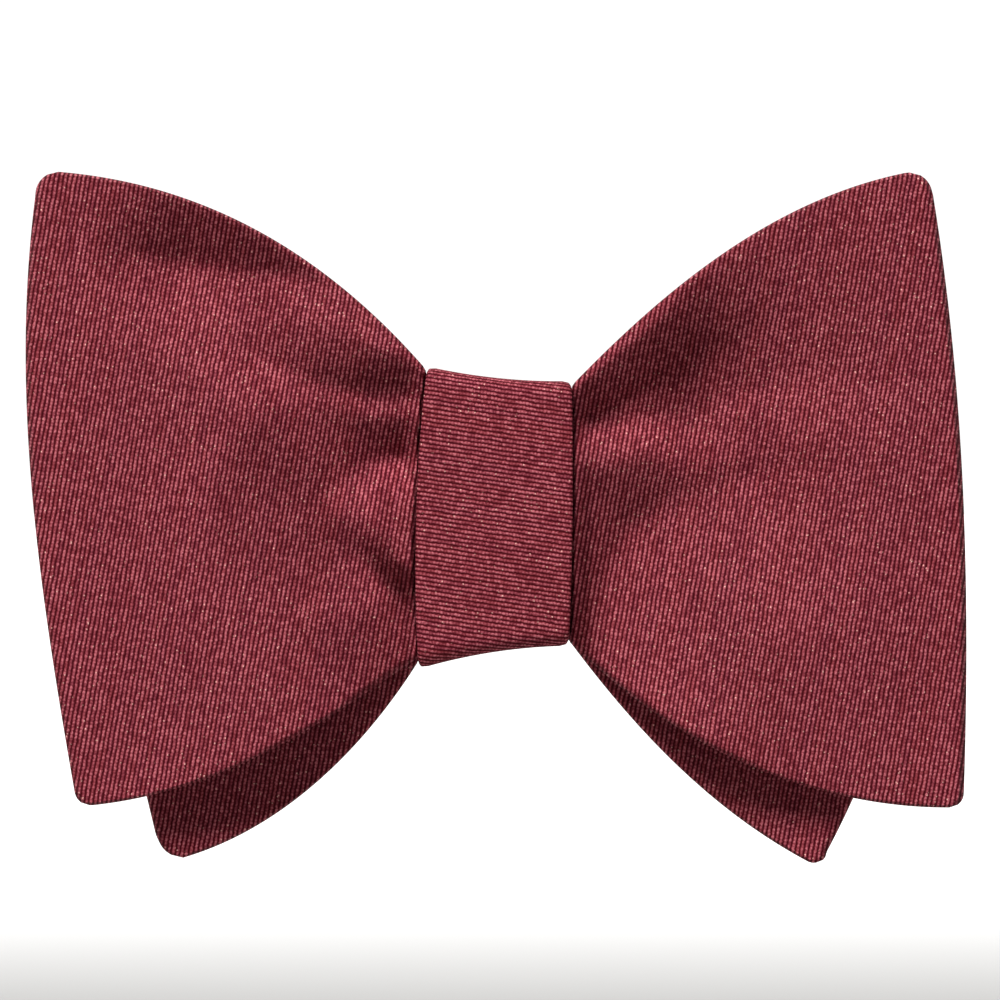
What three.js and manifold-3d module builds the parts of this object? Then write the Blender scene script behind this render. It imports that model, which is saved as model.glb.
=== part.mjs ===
// Pre-tied butterfly bow tie on an adjustable neckband with a hook and an eye.
//
// Millimetres. -Y is the front, +X is the right-hand side seen from the front, +Z is up.
// The origin is the middle of the knot's flat back face, which sits on the collar.

import * as THREE from 'three';
import { mergeVertices } from 'three/addons/utils/BufferGeometryUtils.js';
import Module from 'manifold-3d';

const wasm = await Module();
wasm.setup();

// ---------------------------------------------------------------- driving dimensions

const CLEARANCE = 0.3; // between pieces that lie on each other

// Knot: a strip of cloth over an interlining strip, round the middle of both bows.
const KNOT_WIDTH = 20.4;
const KNOT_HEIGHT = 37;
const KNOT_TAPER = 0.068; // share of the height gained at the left end and lost at the right
const KNOT_CLOTH = 1.0;
const KNOT_LINING = 0.8;
const KNOT_FRONT_RADIUS = 6;
const KNOT_BACK_RADIUS = 2.5;

// Gathered waists of the two bows, front to back.
const FRONT_WAIST_DEPTH = 6.8;
const BACK_WAIST_DEPTH = 6.5;
const WAIST_INSET = 0.3; // the waists end this far inside the knot's ends
const WING_GAP = 0.55; // from the knot's end to a wing, so that the wing can swing back

// Wing panels.
const WING_CLOTH = 0.6;
const WING_LINING = 1.0;
const WING_SEAM = 1.6; // the interlining stops this far inside the panel's edge

// Neckband: a flat sleeve over an interlining tape.
const BAND_HEIGHT = 19;
const BAND_CLOTH = 0.4;
const BAND_LINING = 0.4;
const BAND_JOINT_GAP = 0.6; // between the centre stretch and each half
const LOOP_HALF_WIDTH = 55;
const LOOP_ARC_DEPTH = 40; // front to back, of the front arc and of the rear arc
const LOOP_SIDE = 52; // length of the straight side between the arcs

// Hardware: a slider, and a hook and an eye on bars that the band is folded round.
const BAR_RADIUS = 0.5;
const FOLD_CLOTH = 1.0; // thickness of the strap where it runs round a bar
const PLATE = 1.0;
const PLATE_ARM = 1.2;
const ARM_GAP = 0.4; // between the strap's edge and an arm or a rail beside it
const EYE_SLOT = 2.8;
const EYE_WIDTH = 12.4;
const HOOK_WIDTH = 7;
const HOOK_SHANK = 3.4;
const HOOK_OPENING = 1.6;
const HOOK_TONGUE = 3.2;
const HOOK_METAL = 0.8;
const CLASP_GAP = 4; // between the hook and the eye while the band is unfastened
const EYE_FOLD_LENGTH = 12;
const SLIDER_LENGTH = 9.8;
const SLIDER_PLACE = 23; // along the straight side, from its front end
const SLIDER_FOLD_LENGTH = 10;
const SLIDER_TAIL_LENGTH = 6;
const RETURN_START = 41.5; // along the straight side, clear of the slider's furthest place
const RAIL_HEIGHT = 1.0;

// Small sewn pieces.
const TACK_WIDTH = 1.4;
const TACK_HEIGHT = 14;
const TACK_THICKNESS = 0.4;
const LABEL_LENGTH = 26;
const LABEL_HEIGHT = 12;
const LABEL_THICKNESS = 0.4;
const LABEL_PLACE = 13; // along the straight side, from its front end

// Outlines of the four wings, x measured outward from the middle of the knot. The upper and
// the lower edge flare from the knot to a corner, starting `past` the knot's own edge; the outer
// edge is a line with a slight bulge.
const WINGS = {
  front_left: {
    side: -1,
    upper: { past: 0.54, tip: 44.6, corner: 57, flare: 2.0, radius: 3.2 },
    lower: { past: 0.96, tip: -37.9, corner: 52.5, flare: 1.6, radius: 1.8 },
    outer: { top: 59.7, bottom: 54.2, bulge: 3.4 },
  },
  front_right: {
    side: 1,
    upper: { past: 0.16, tip: 44.6, corner: 54.5, flare: 1.65, radius: 2.6 },
    lower: { past: 0.14, tip: -38.1, corner: 56.5, flare: 2.0, radius: 2.0 },
    outer: { top: 56.6, bottom: 61.3, bulge: 2.3 },
  },
  back_left: {
    side: -1,
    upper: { past: -2.26, tip: 40.5, corner: 53, flare: 2.0, radius: 3.2 },
    lower: { past: 0.16, tip: -44.9, corner: 41, flare: 1.65, radius: 3.2 },
    outer: { top: 56, bottom: 43.8, bulge: 2 },
  },
  back_right: {
    side: 1,
    upper: { past: -1.74, tip: 40.5, corner: 50, flare: 1.65, radius: 3.2 },
    lower: { past: 0.06, tip: -45.4, corner: 41.4, flare: 1.4, radius: 1.6 },
    outer: { top: 54.5, bottom: 43, bulge: 9.5 },
  },
};

// How the panels lie front to back: pleats at the knot, a crown, and a lean of the tip.
const PLEAT_PLAY = 0.25; // between the deepest pleat and its share of the knot's depth
const PLEAT_FADE = 4; // how fast the pleats die out from the knot to the tip
const PLEAT_WAVES = 1; // over half of the wing's height
const CROWN = 1.8;
const FRONT_TIP_LEAN = -0.8; // negative is forward
const BACK_TIP_LEAN = -1.2;

// ---------------------------------------------------------------- derived places

const KNOT_HALF = KNOT_WIDTH / 2;
const WING_THICKNESS = WING_LINING + 2 * (CLEARANCE + WING_CLOTH);
const PLEAT_ROOM = Math.min(FRONT_WAIST_DEPTH, BACK_WAIST_DEPTH) - WING_THICKNESS;
const PLEAT_DEPTH = PLEAT_ROOM / 2 - PLEAT_PLAY;
const BAND_THICKNESS = 2 * BAND_CLOTH + BAND_LINING + 2 * CLEARANCE;

// The stack through the knot, from its back face forward.
const LINING_BACK = -(KNOT_CLOTH + CLEARANCE);
const BAND_BACK = LINING_BACK - KNOT_LINING - CLEARANCE;
const BAND_FRONT = BAND_BACK - BAND_THICKNESS;
const BACK_WAIST_BACK = BAND_FRONT - CLEARANCE;
const BACK_WAIST_FRONT = BACK_WAIST_BACK - BACK_WAIST_DEPTH;
const FRONT_WAIST_BACK = BACK_WAIST_FRONT - CLEARANCE;
const FRONT_WAIST_FRONT = FRONT_WAIST_BACK - FRONT_WAIST_DEPTH;
const LINING_FRONT = FRONT_WAIST_FRONT - CLEARANCE - KNOT_LINING;
const KNOT_FRONT = LINING_FRONT - CLEARANCE - KNOT_CLOTH;

const BAND_MIDDLE = (BAND_BACK + BAND_FRONT) / 2;
const BAND_HALF_THICKNESS = BAND_THICKNESS / 2;
const FRONT_ARC_CENTRE = BAND_MIDDLE + LOOP_ARC_DEPTH;

const BORE_RADIUS = BAR_RADIUS + CLEARANCE;
const FOLD_RADIUS = BORE_RADIUS + FOLD_CLOTH;
const STRAP_SLOT = FOLD_RADIUS + CLEARANCE; // from the bar's middle to the next cross piece
const STRAP_BAR_OFFSET = BAND_HALF_THICKNESS - FOLD_RADIUS; // from the band's middle, outward
const RETURN_INNER = STRAP_BAR_OFFSET - FOLD_RADIUS;
const SLIDER_BAR_OFFSET = RETURN_INNER - CLEARANCE - BAR_RADIUS;
const SLIDER_END_OFFSET = BAND_HALF_THICKNESS + CLEARANCE + BAR_RADIUS;

const ARM_INNER = BAND_HEIGHT / 2 + ARM_GAP;
const ARM_OUTER = ARM_INNER + PLATE_ARM;
const EYE_REACH = STRAP_SLOT + 2 * PLATE_ARM + EYE_SLOT + BAR_RADIUS;
const HOOK_BEND = HOOK_OPENING / 2 + HOOK_METAL;
const HOOK_REACH = BAR_RADIUS + STRAP_SLOT + HOOK_SHANK + HOOK_BEND;
const CLASP_BAR = (EYE_REACH + HOOK_REACH + CLASP_GAP) / 2;

// ---------------------------------------------------------------- solids and meshes

/** A closed geometry as a manifold-3d solid. */
function toSolid(geometry) {
  const bare = geometry.clone();
  bare.deleteAttribute('normal');
  bare.deleteAttribute('uv');
  const merged = mergeVertices(bare);
  return new wasm.Manifold(new wasm.Mesh({
    numProp: 3,
    vertProperties: new Float32Array(merged.attributes.position.array),
    triVerts: new Uint32Array(merged.index.array),
  }));
}

/** A manifold-3d solid as a geometry. */
function toGeometry(solid) {
  const mesh = solid.getMesh();
  const geometry = new THREE.BufferGeometry();
  geometry.setAttribute('position', new THREE.BufferAttribute(mesh.vertProperties, 3));
  geometry.setIndex(new THREE.BufferAttribute(mesh.triVerts, 1));
  geometry.computeVertexNormals();
  return geometry;
}

/** One closed geometry made of several that overlap. */
function join(geometries) {
  return toGeometry(geometries.map(toSolid).reduce((whole, piece) => whole.add(piece)));
}

/** A plan outline drawn in X and Y, as a solid of the given height about Z = 0. */
function standing(shape, height) {
  const geometry = new THREE.ExtrudeGeometry(shape, { depth: height, bevelEnabled: false, curveSegments: 5 });
  return geometry.translate(0, 0, -height / 2);
}

/** A profile drawn in Y and Z, as a solid of the given length about X = 0. */
function lying(shape, length) {
  const geometry = new THREE.ExtrudeGeometry(shape, { depth: length, bevelEnabled: false, curveSegments: 5 });
  geometry.translate(0, 0, -length / 2);
  const turn = new THREE.Matrix4().makeBasis(
    new THREE.Vector3(0, 1, 0),
    new THREE.Vector3(0, 0, 1),
    new THREE.Vector3(1, 0, 0),
  );
  return geometry.applyMatrix4(turn);
}

/** A rounded rectangle as a path; low and high are its radii at the smaller and the larger x. */
function roundedRectangle(x0, y0, x1, y1, low, high, path = new THREE.Shape()) {
  path.moveTo(x0 + low, y0);
  path.lineTo(x1 - high, y0);
  path.absarc(x1 - high, y0 + high, high, -Math.PI / 2, 0, false);
  path.lineTo(x1, y1 - high);
  path.absarc(x1 - high, y1 - high, high, 0, Math.PI / 2, false);
  path.lineTo(x0 + low, y1);
  path.absarc(x0 + low, y1 - low, low, Math.PI / 2, Math.PI, false);
  path.lineTo(x0, y0 + low);
  path.absarc(x0 + low, y0 + low, low, Math.PI, 1.5 * Math.PI, false);
  return path;
}

function silk() {
  return new THREE.MeshStandardMaterial({ color: 0x82363f, roughness: 0.7, metalness: 0 });
}

function canvas() {
  return new THREE.MeshStandardMaterial({ color: 0xd9d2c2, roughness: 0.95, metalness: 0 });
}

function thread() {
  return new THREE.MeshStandardMaterial({ color: 0x5a1f2a, roughness: 0.8, metalness: 0 });
}

function labelTape() {
  return new THREE.MeshStandardMaterial({ color: 0xe9e4da, roughness: 0.85, metalness: 0 });
}

function nickel() {
  return new THREE.MeshStandardMaterial({ color: 0xc9c6c0, roughness: 0.3, metalness: 1 });
}

function addPiece(group, name, geometry, material) {
  const piece = new THREE.Mesh(geometry, material);
  piece.name = name;
  group.add(piece);
  return piece;
}

// ---------------------------------------------------------------- knot

/** Leans the knot's upper and lower edges, so that it is taller on the left than on the right. */
function taperAlongKnot(geometry) {
  const position = geometry.attributes.position;
  for (let i = 0; i < position.count; i += 1) {
    const share = position.getX(i) / KNOT_HALF;
    position.setZ(i, position.getZ(i) * (1 - KNOT_TAPER * share));
  }
  return geometry;
}

/** A ring round the waist: `inset` is how far it lies inside the knot's outer skin. */
function knotRing(inset, thickness) {
  const outline = (depth, path) => roundedRectangle(
    KNOT_FRONT + depth,
    -KNOT_HEIGHT / 2 + depth,
    -depth,
    KNOT_HEIGHT / 2 - depth,
    Math.max(KNOT_FRONT_RADIUS - depth, CLEARANCE),
    Math.max(KNOT_BACK_RADIUS - depth, CLEARANCE),
    path,
  );
  const ring = outline(inset, new THREE.Shape());
  ring.holes.push(outline(inset + thickness, new THREE.Path()));
  return taperAlongKnot(lying(ring, KNOT_WIDTH));
}

/** Gathered cloth of one bow inside the knot, between two depths. */
function waist(front, back, frontRadius) {
  const half = KNOT_HEIGHT / 2 - KNOT_CLOTH - KNOT_LINING - 3 * CLEARANCE;
  const profile = roundedRectangle(front, -half, back, half, frontRadius, CLEARANCE);
  return taperAlongKnot(lying(profile, KNOT_WIDTH - 2 * WAIST_INSET));
}

function buildKnot(group) {
  const liningInset = KNOT_CLOTH + CLEARANCE;
  const waistInset = liningInset + KNOT_LINING + CLEARANCE;
  const waistRadius = Math.max(KNOT_FRONT_RADIUS - waistInset, CLEARANCE);
  addPiece(group, 'knot_wrap', knotRing(0, KNOT_CLOTH), silk());
  addPiece(group, 'knot_interlining', knotRing(liningInset, KNOT_LINING), canvas());
  addPiece(group, 'front_bow_waist', waist(FRONT_WAIST_FRONT, FRONT_WAIST_BACK, waistRadius), silk());
  addPiece(group, 'back_bow_waist', waist(BACK_WAIST_FRONT, BACK_WAIST_BACK, CLEARANCE), silk());
  const band = new THREE.BoxGeometry(KNOT_WIDTH, BAND_THICKNESS, BAND_HEIGHT);
  addPiece(group, 'neckband_centre', band.translate(0, BAND_MIDDLE, 0), silk());
}

// ---------------------------------------------------------------- wings

const WING_ROOT = KNOT_HALF + WING_GAP;
const ACROSS = [0, 0.05, 0.12, 0.21, 0.33, 0.5, 0.7, 0.87]; // from the knot outward
const RISE = [0, 0.18, 0.35, 0.5, 0.65, 0.8, 0.92]; // from the middle height to an edge

/** Height of a flared edge at a distance x from the middle of the knot. */
function edgeHeight(side, edge, x) {
  const share = THREE.MathUtils.clamp((x - WING_ROOT) / (edge.corner - WING_ROOT), 0, 1);
  const knotEdge = (KNOT_HEIGHT / 2) * (1 - side * KNOT_TAPER);
  const root = Math.sign(edge.tip) * (knotEdge + edge.past);
  return THREE.MathUtils.lerp(root, edge.tip, 1 - (1 - share) ** edge.flare);
}

/** How far a rounded corner draws the outer edge in, at a height `away` from the corner. */
function cornerDraw(radius, away) {
  if (away >= radius) return 0;
  return radius - Math.sqrt(radius ** 2 - (radius - away) ** 2);
}

/** Distance of the outer edge from the middle of the knot, at a share of the wing's height. */
function outerReach(wing, share) {
  const height = wing.upper.tip - wing.lower.tip;
  const line = THREE.MathUtils.lerp(wing.outer.bottom, wing.outer.top, share);
  const corners = cornerDraw(wing.upper.radius, (1 - share) * height)
    + cornerDraw(wing.lower.radius, share * height);
  return line + wing.outer.bulge * Math.sin(Math.PI * share) - corners;
}

/** Middle depth of a wing: s is 0 at the knot and 1 at the tip, h is -1 below and 1 above. */
function wingDepth(root, lean, s, h) {
  const pleats = PLEAT_DEPTH * Math.exp(-PLEAT_FADE * s) * Math.cos(2 * Math.PI * PLEAT_WAVES * h);
  const crown = CROWN * Math.sin(Math.PI * s) * (1 - h * h);
  return root + lean * s - crown - pleats;
}

/** The grid's shares of a wing: the last column and the end rows lie outside the seam. */
function wingShares(wing) {
  const height = wing.upper.tip - wing.lower.tip;
  const reach = wing.outer.top - WING_ROOT;
  const rise = [...RISE, 1 - (2 * WING_SEAM) / height, 1];
  return {
    across: [...ACROSS, 1 - WING_SEAM / reach, 1],
    up: [...rise.slice(1).map((h) => -h).reverse(), ...rise],
  };
}

/** One layer of a wing, between two distances behind its middle; `inSeam` stops at the seam. */
function wingLayer(wing, root, lean, near, far, inSeam) {
  const { across, up } = wingShares(wing);
  const columns = inSeam ? across.slice(0, -1) : across;
  const rows = inSeam ? up.slice(1, -1) : up;
  const positions = [];
  for (const offset of [near, far]) {
    for (const s of columns) {
      for (const h of rows) {
        const share = (1 + h) / 2;
        const x = THREE.MathUtils.lerp(WING_ROOT, outerReach(wing, share), s);
        const low = edgeHeight(wing.side, wing.lower, x);
        const high = edgeHeight(wing.side, wing.upper, x);
        const z = THREE.MathUtils.lerp(low, high, share);
        positions.push(wing.side * x, wingDepth(root, lean, s, h) + offset, z);
      }
    }
  }
  return slab(positions, columns.length, rows.length, wing.side);
}

/** A closed solid from a near grid and a far grid of the same points, and walls between. */
function slab(positions, columns, rows, side) {
  const far = columns * rows;
  const faces = [];
  const quad = (a, b, c, d) => {
    const corners = side > 0 ? [a, b, c, a, c, d] : [a, c, b, a, d, c];
    faces.push(...corners);
  };
  for (let i = 0; i + 1 < columns; i += 1) {
    for (let j = 0; j + 1 < rows; j += 1) {
      const a = i * rows + j;
      quad(a, a + rows, a + rows + 1, a + 1);
      quad(far + a, far + a + 1, far + a + rows + 1, far + a + rows);
    }
    const below = i * rows;
    const above = below + rows - 1;
    quad(below, far + below, far + below + rows, below + rows);
    quad(above, above + rows, far + above + rows, far + above);
  }
  for (let j = 0; j + 1 < rows; j += 1) {
    const outer = (columns - 1) * rows + j;
    quad(j, j + 1, far + j + 1, far + j);
    quad(outer, far + outer, far + outer + 1, outer + 1);
  }
  const geometry = new THREE.BufferGeometry();
  geometry.setAttribute('position', new THREE.Float32BufferAttribute(positions, 3));
  geometry.setIndex(faces);
  geometry.computeVertexNormals();
  return geometry;
}

/** Face cloth, interlining and back cloth of one wing. */
function buildWing(group, name, root, lean) {
  const wing = WINGS[name];
  const half = WING_LINING / 2;
  const cloth = half + CLEARANCE;
  const skin = cloth + WING_CLOTH;
  addPiece(group, `${name}_face`, wingLayer(wing, root, lean, -skin, -cloth, false), silk());
  addPiece(group, `${name}_interlining`, wingLayer(wing, root, lean, -half, half, true), canvas());
  addPiece(group, `${name}_back`, wingLayer(wing, root, lean, cloth, skin, false), silk());
}

function buildWingPair(group, hand) {
  const frontRoot = (FRONT_WAIST_FRONT + FRONT_WAIST_BACK) / 2;
  const backRoot = (BACK_WAIST_FRONT + BACK_WAIST_BACK) / 2;
  buildWing(group, `front_${hand}`, frontRoot, FRONT_TIP_LEAN);
  buildWing(group, `back_${hand}`, backRoot, BACK_TIP_LEAN);
}

// ---------------------------------------------------------------- the neckband's run

// A place on one half of the band is a number: -1 to 0 round the front arc, 0 to 1 along the
// straight side, 1 to 2 round the rear arc. Each arc has this many steps.
const ARC_STEPS = 11;

/** The place on the front arc, or with `rear` on the rear arc, at a distance x from the middle. */
function placeOnArc(x, rear) {
  const turn = Math.acos(x / LOOP_HALF_WIDTH) / (Math.PI / 2);
  return rear ? 1 + turn : -turn;
}

/** Point, outward normal and forward tangent of one half of the band at a place. */
function bandFrame(side, place) {
  const angle = (place < 0 ? place : Math.max(place - 1, 0)) * (Math.PI / 2);
  const centre = FRONT_ARC_CENTRE + LOOP_SIDE * THREE.MathUtils.clamp(place, 0, 1);
  const point = new THREE.Vector2(
    LOOP_HALF_WIDTH * Math.cos(angle),
    centre + LOOP_ARC_DEPTH * Math.sin(angle),
  );
  const normal = new THREE.Vector2(
    Math.cos(angle) / LOOP_HALF_WIDTH,
    Math.sin(angle) / LOOP_ARC_DEPTH,
  ).normalize();
  const tangent = new THREE.Vector2(-normal.y, normal.x);
  for (const vector of [point, normal, tangent]) vector.x *= side;
  return { point, normal, tangent };
}

/** The places from one to another, with the steps of the arcs between them. */
function placesBetween(from, to) {
  const low = Math.min(from, to);
  const high = Math.max(from, to);
  const inner = [];
  for (let k = -ARC_STEPS; k <= 2 * ARC_STEPS; k += 1) {
    const place = k / ARC_STEPS;
    const onStraight = place > 0 && place < 1;
    if (place > low && place < high && !onStraight) inner.push(place);
  }
  const places = [low, ...inner, high];
  return from <= to ? places : places.reverse();
}

/** The band's middle line moved outward by `offset`, from one place to another. */
function offsetLine(side, from, to, offset) {
  return placesBetween(from, to).map((place) => {
    const { point, normal } = bandFrame(side, place);
    return point.addScaledVector(normal, offset);
  });
}

/** Plan outline of a strap between two places and two offsets. */
function strapPlan(side, from, to, inner, outer) {
  return new THREE.Shape([
    ...offsetLine(side, from, to, outer),
    ...offsetLine(side, to, from, inner),
  ]);
}

/** An open-ended sleeve of cloth with room for the interlining tape. */
function sleeve(side, from, to) {
  const half = BAND_HALF_THICKNESS;
  const room = half - BAND_CLOTH;
  const pastEnd = 0.02;
  const outside = standing(strapPlan(side, from, to, -half, half), BAND_HEIGHT);
  const inside = standing(
    strapPlan(side, from - pastEnd, to + pastEnd, -room, room),
    BAND_HEIGHT - 2 * BAND_CLOTH,
  );
  return toGeometry(toSolid(outside).subtract(toSolid(inside)));
}

function bandLining(side, from, to) {
  const height = BAND_HEIGHT - 2 * (BAND_CLOTH + CLEARANCE);
  return standing(strapPlan(side, from, to, -BAND_LINING / 2, BAND_LINING / 2), height);
}

/**
 * A strap end folded round a bar. The bar lies at `offset` from the band's middle; `wrap` is 1
 * where the fold closes towards the clasp and -1 where it closes towards the knot. The outer
 * and the inner layer run from the bar to their own places.
 */
function foldedEnd(side, bar, offset, wrap, outerTo, innerTo) {
  const { point, normal, tangent } = bandFrame(side, bar);
  const centre = point.addScaledVector(normal, offset);
  const steps = 8;
  const arc = (radius) => Array.from({ length: steps - 1 }, (_, k) => {
    const angle = (Math.PI * (k + 1)) / steps;
    return centre.clone()
      .addScaledVector(normal, radius * Math.cos(angle))
      .addScaledVector(tangent, wrap * radius * Math.sin(angle));
  });
  const layer = (from, to, radius) => (
    from === to ? [centre.clone().addScaledVector(normal, radius)] : offsetLine(side, from, to, offset + radius)
  );
  const plan = new THREE.Shape([
    ...layer(outerTo, bar, FOLD_RADIUS),
    ...arc(FOLD_RADIUS),
    ...layer(bar, innerTo, -FOLD_RADIUS),
    ...layer(innerTo, bar, -BORE_RADIUS),
    ...arc(BORE_RADIUS).reverse(),
    ...layer(bar, outerTo, BORE_RADIUS),
  ]);
  return standing(plan, BAND_HEIGHT);
}

/** A row of bar-tack stitches across the strap, standing on the face at `offset`. */
function tack(side, middle, offset) {
  const half = TACK_WIDTH / 2 / LOOP_SIDE;
  const inner = offset - CLEARANCE - TACK_THICKNESS;
  return standing(strapPlan(side, middle - half, middle + half, inner, offset - CLEARANCE), TACK_HEIGHT);
}

/** Places a piece made in a bar's own axes (tangent, outward normal, height) on the band. */
function seatOnBand(piece, side, place, offset) {
  const { point, normal, tangent } = bandFrame(side, place);
  point.addScaledVector(normal, offset);
  const along = new THREE.Vector3(tangent.x, tangent.y, 0);
  const out = new THREE.Vector3(normal.x, normal.y, 0);
  const turn = new THREE.Matrix4().makeBasis(along, out, along.clone().cross(out));
  piece.quaternion.setFromRotationMatrix(turn);
  piece.position.set(point.x, point.y, 0);
}

// ---------------------------------------------------------------- band halves

const BAND_START = placeOnArc(KNOT_HALF + BAND_JOINT_GAP, false);
const CLASP_PLACE = placeOnArc(CLASP_BAR, true);
const FOLD_START = placeOnArc(CLASP_BAR + 2 * BAR_RADIUS, true);
const STRAP_END = placeOnArc(CLASP_BAR + 2 * BAR_RADIUS + CLEARANCE, true);
const LINING_END = placeOnArc(CLASP_BAR + FOLD_RADIUS, true);

function buildLeftBand(group) {
  const side = -1;
  const arcLength = (LOOP_HALF_WIDTH * Math.PI) / 2;
  const foldEnd = CLASP_PLACE - EYE_FOLD_LENGTH / arcLength;
  const tackPlace = foldEnd + (2 * TACK_WIDTH) / arcLength;
  addPiece(group, 'band_left', sleeve(side, BAND_START, STRAP_END), silk());
  addPiece(group, 'band_left_interlining', bandLining(side, BAND_START, LINING_END), canvas());
  addPiece(group, 'eye_fold', foldedEnd(side, CLASP_PLACE, STRAP_BAR_OFFSET, 1, FOLD_START, foldEnd), silk());
  addPiece(group, 'eye_fold_tack', tack(side, tackPlace, RETURN_INNER), thread());
  const labelStart = LABEL_PLACE / LOOP_SIDE;
  const labelEnd = (LABEL_PLACE + LABEL_LENGTH) / LOOP_SIDE;
  const labelFace = -BAND_HALF_THICKNESS - CLEARANCE;
  const label = strapPlan(side, labelStart, labelEnd, labelFace - LABEL_THICKNESS, labelFace);
  addPiece(group, 'neck_label', standing(label, LABEL_HEIGHT), labelTape());
}

function buildRightBand(group) {
  const side = 1;
  const returnEnd = RETURN_START / LOOP_SIDE;
  addPiece(group, 'band_right', sleeve(side, BAND_START, STRAP_END), silk());
  addPiece(group, 'band_right_interlining', bandLining(side, BAND_START, LINING_END), canvas());
  addPiece(group, 'hook_return', foldedEnd(side, CLASP_PLACE, STRAP_BAR_OFFSET, 1, FOLD_START, returnEnd), silk());
}

// ---------------------------------------------------------------- hardware

/** A round bar along the height, at a place along the strap and outward. */
function heightBar(length, along, outward) {
  return new THREE.CylinderGeometry(BAR_RADIUS, BAR_RADIUS, length, 10)
    .rotateX(Math.PI / 2)
    .translate(along, outward, 0);
}

/** A flat plate drawn along the strap and up, as thick as the sheet metal. */
function flatPlate(shape) {
  const geometry = new THREE.ExtrudeGeometry(shape, { depth: PLATE, bevelEnabled: false, curveSegments: 4 });
  return geometry.rotateX(Math.PI / 2).translate(0, PLATE / 2, 0);
}

/** The end of a plate that holds the strap: a bar, two arms and a cross piece. */
function strapHolder() {
  const crossPiece = STRAP_SLOT + PLATE_ARM;
  const shape = roundedRectangle(-BAR_RADIUS, -ARM_OUTER, crossPiece, ARM_OUTER, BAR_RADIUS, PLATE_ARM);
  shape.holes.push(roundedRectangle(
    BAR_RADIUS,
    -ARM_INNER,
    STRAP_SLOT,
    ARM_INNER,
    CLEARANCE / 2,
    CLEARANCE / 2,
    new THREE.Path(),
  ));
  return flatPlate(shape);
}

function buildEye(group) {
  const start = STRAP_SLOT;
  const end = EYE_REACH;
  const half = EYE_WIDTH / 2;
  const shape = roundedRectangle(start, -half, end, half, CLEARANCE, 2 * PLATE_ARM);
  shape.holes.push(roundedRectangle(
    start + PLATE_ARM,
    -half + PLATE_ARM,
    end - PLATE_ARM,
    half - PLATE_ARM,
    CLEARANCE,
    PLATE_ARM,
    new THREE.Path(),
  ));
  const eye = addPiece(group, 'band_eye', join([strapHolder(), flatPlate(shape)]), nickel());
  seatOnBand(eye, -1, CLASP_PLACE, STRAP_BAR_OFFSET);
}

/** Plan outline of the hook's tongue: out along the shank, round the bend and back. */
function hookTongue() {
  const outer = HOOK_METAL / 2;
  const inner = -HOOK_METAL / 2;
  const bendStart = HOOK_REACH - HOOK_BEND;
  const bendMiddle = inner - HOOK_OPENING / 2;
  const tipStart = bendStart - HOOK_TONGUE;
  const shape = new THREE.Shape();
  shape.moveTo(STRAP_SLOT + BAR_RADIUS, outer);
  shape.lineTo(bendStart, outer);
  shape.absarc(bendStart, bendMiddle, HOOK_BEND, Math.PI / 2, -Math.PI / 2, true);
  shape.lineTo(tipStart, bendMiddle - HOOK_BEND);
  shape.lineTo(tipStart, bendMiddle - HOOK_OPENING / 2);
  shape.lineTo(bendStart, bendMiddle - HOOK_OPENING / 2);
  shape.absarc(bendStart, bendMiddle, HOOK_OPENING / 2, -Math.PI / 2, Math.PI / 2, false);
  shape.lineTo(STRAP_SLOT + BAR_RADIUS, inner);
  return shape;
}

function buildHook(group) {
  const tongue = standing(hookTongue(), HOOK_WIDTH);
  const hook = addPiece(group, 'band_hook', join([strapHolder(), tongue]), nickel());
  seatOnBand(hook, 1, CLASP_PLACE, STRAP_BAR_OFFSET);
}

/** One side rail of the slider: it joins the middle bar, inside, to the end bars, outside. */
function sliderRail(height) {
  const endHalf = SLIDER_LENGTH / 2;
  const outer = SLIDER_END_OFFSET + BAR_RADIUS;
  const shoulder = SLIDER_END_OFFSET - BAR_RADIUS;
  const foot = SLIDER_BAR_OFFSET - BAR_RADIUS;
  const footHalf = 2 * BAR_RADIUS;
  const shape = new THREE.Shape([
    new THREE.Vector2(-endHalf, outer),
    new THREE.Vector2(endHalf, outer),
    new THREE.Vector2(endHalf, shoulder),
    new THREE.Vector2(footHalf, foot),
    new THREE.Vector2(-footHalf, foot),
    new THREE.Vector2(-endHalf, shoulder),
  ]);
  return standing(shape, RAIL_HEIGHT).translate(0, 0, height);
}

function buildSlider(group) {
  const place = SLIDER_PLACE / LOOP_SIDE;
  const railHeight = ARM_INNER + RAIL_HEIGHT / 2;
  const endBar = SLIDER_LENGTH / 2 - BAR_RADIUS;
  const length = 2 * railHeight;
  const frame = join([
    sliderRail(railHeight),
    sliderRail(-railHeight),
    heightBar(length, 0, SLIDER_BAR_OFFSET),
    heightBar(length, endBar, SLIDER_END_OFFSET),
    heightBar(length, -endBar, SLIDER_END_OFFSET),
  ]);
  seatOnBand(addPiece(group, 'slider_frame', frame, nickel()), 1, place, 0);
  const foldEnd = place + SLIDER_FOLD_LENGTH / LOOP_SIDE;
  const tailEnd = place + SLIDER_TAIL_LENGTH / LOOP_SIDE;
  const fold = foldedEnd(1, place, SLIDER_BAR_OFFSET, -1, foldEnd, tailEnd);
  addPiece(group, 'slider_fold', fold, silk());
  const tackPlace = tailEnd - TACK_WIDTH / LOOP_SIDE;
  addPiece(group, 'slider_fold_tack', tack(1, tackPlace, SLIDER_BAR_OFFSET - FOLD_RADIUS), thread());
}

// ---------------------------------------------------------------- assembly

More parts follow.
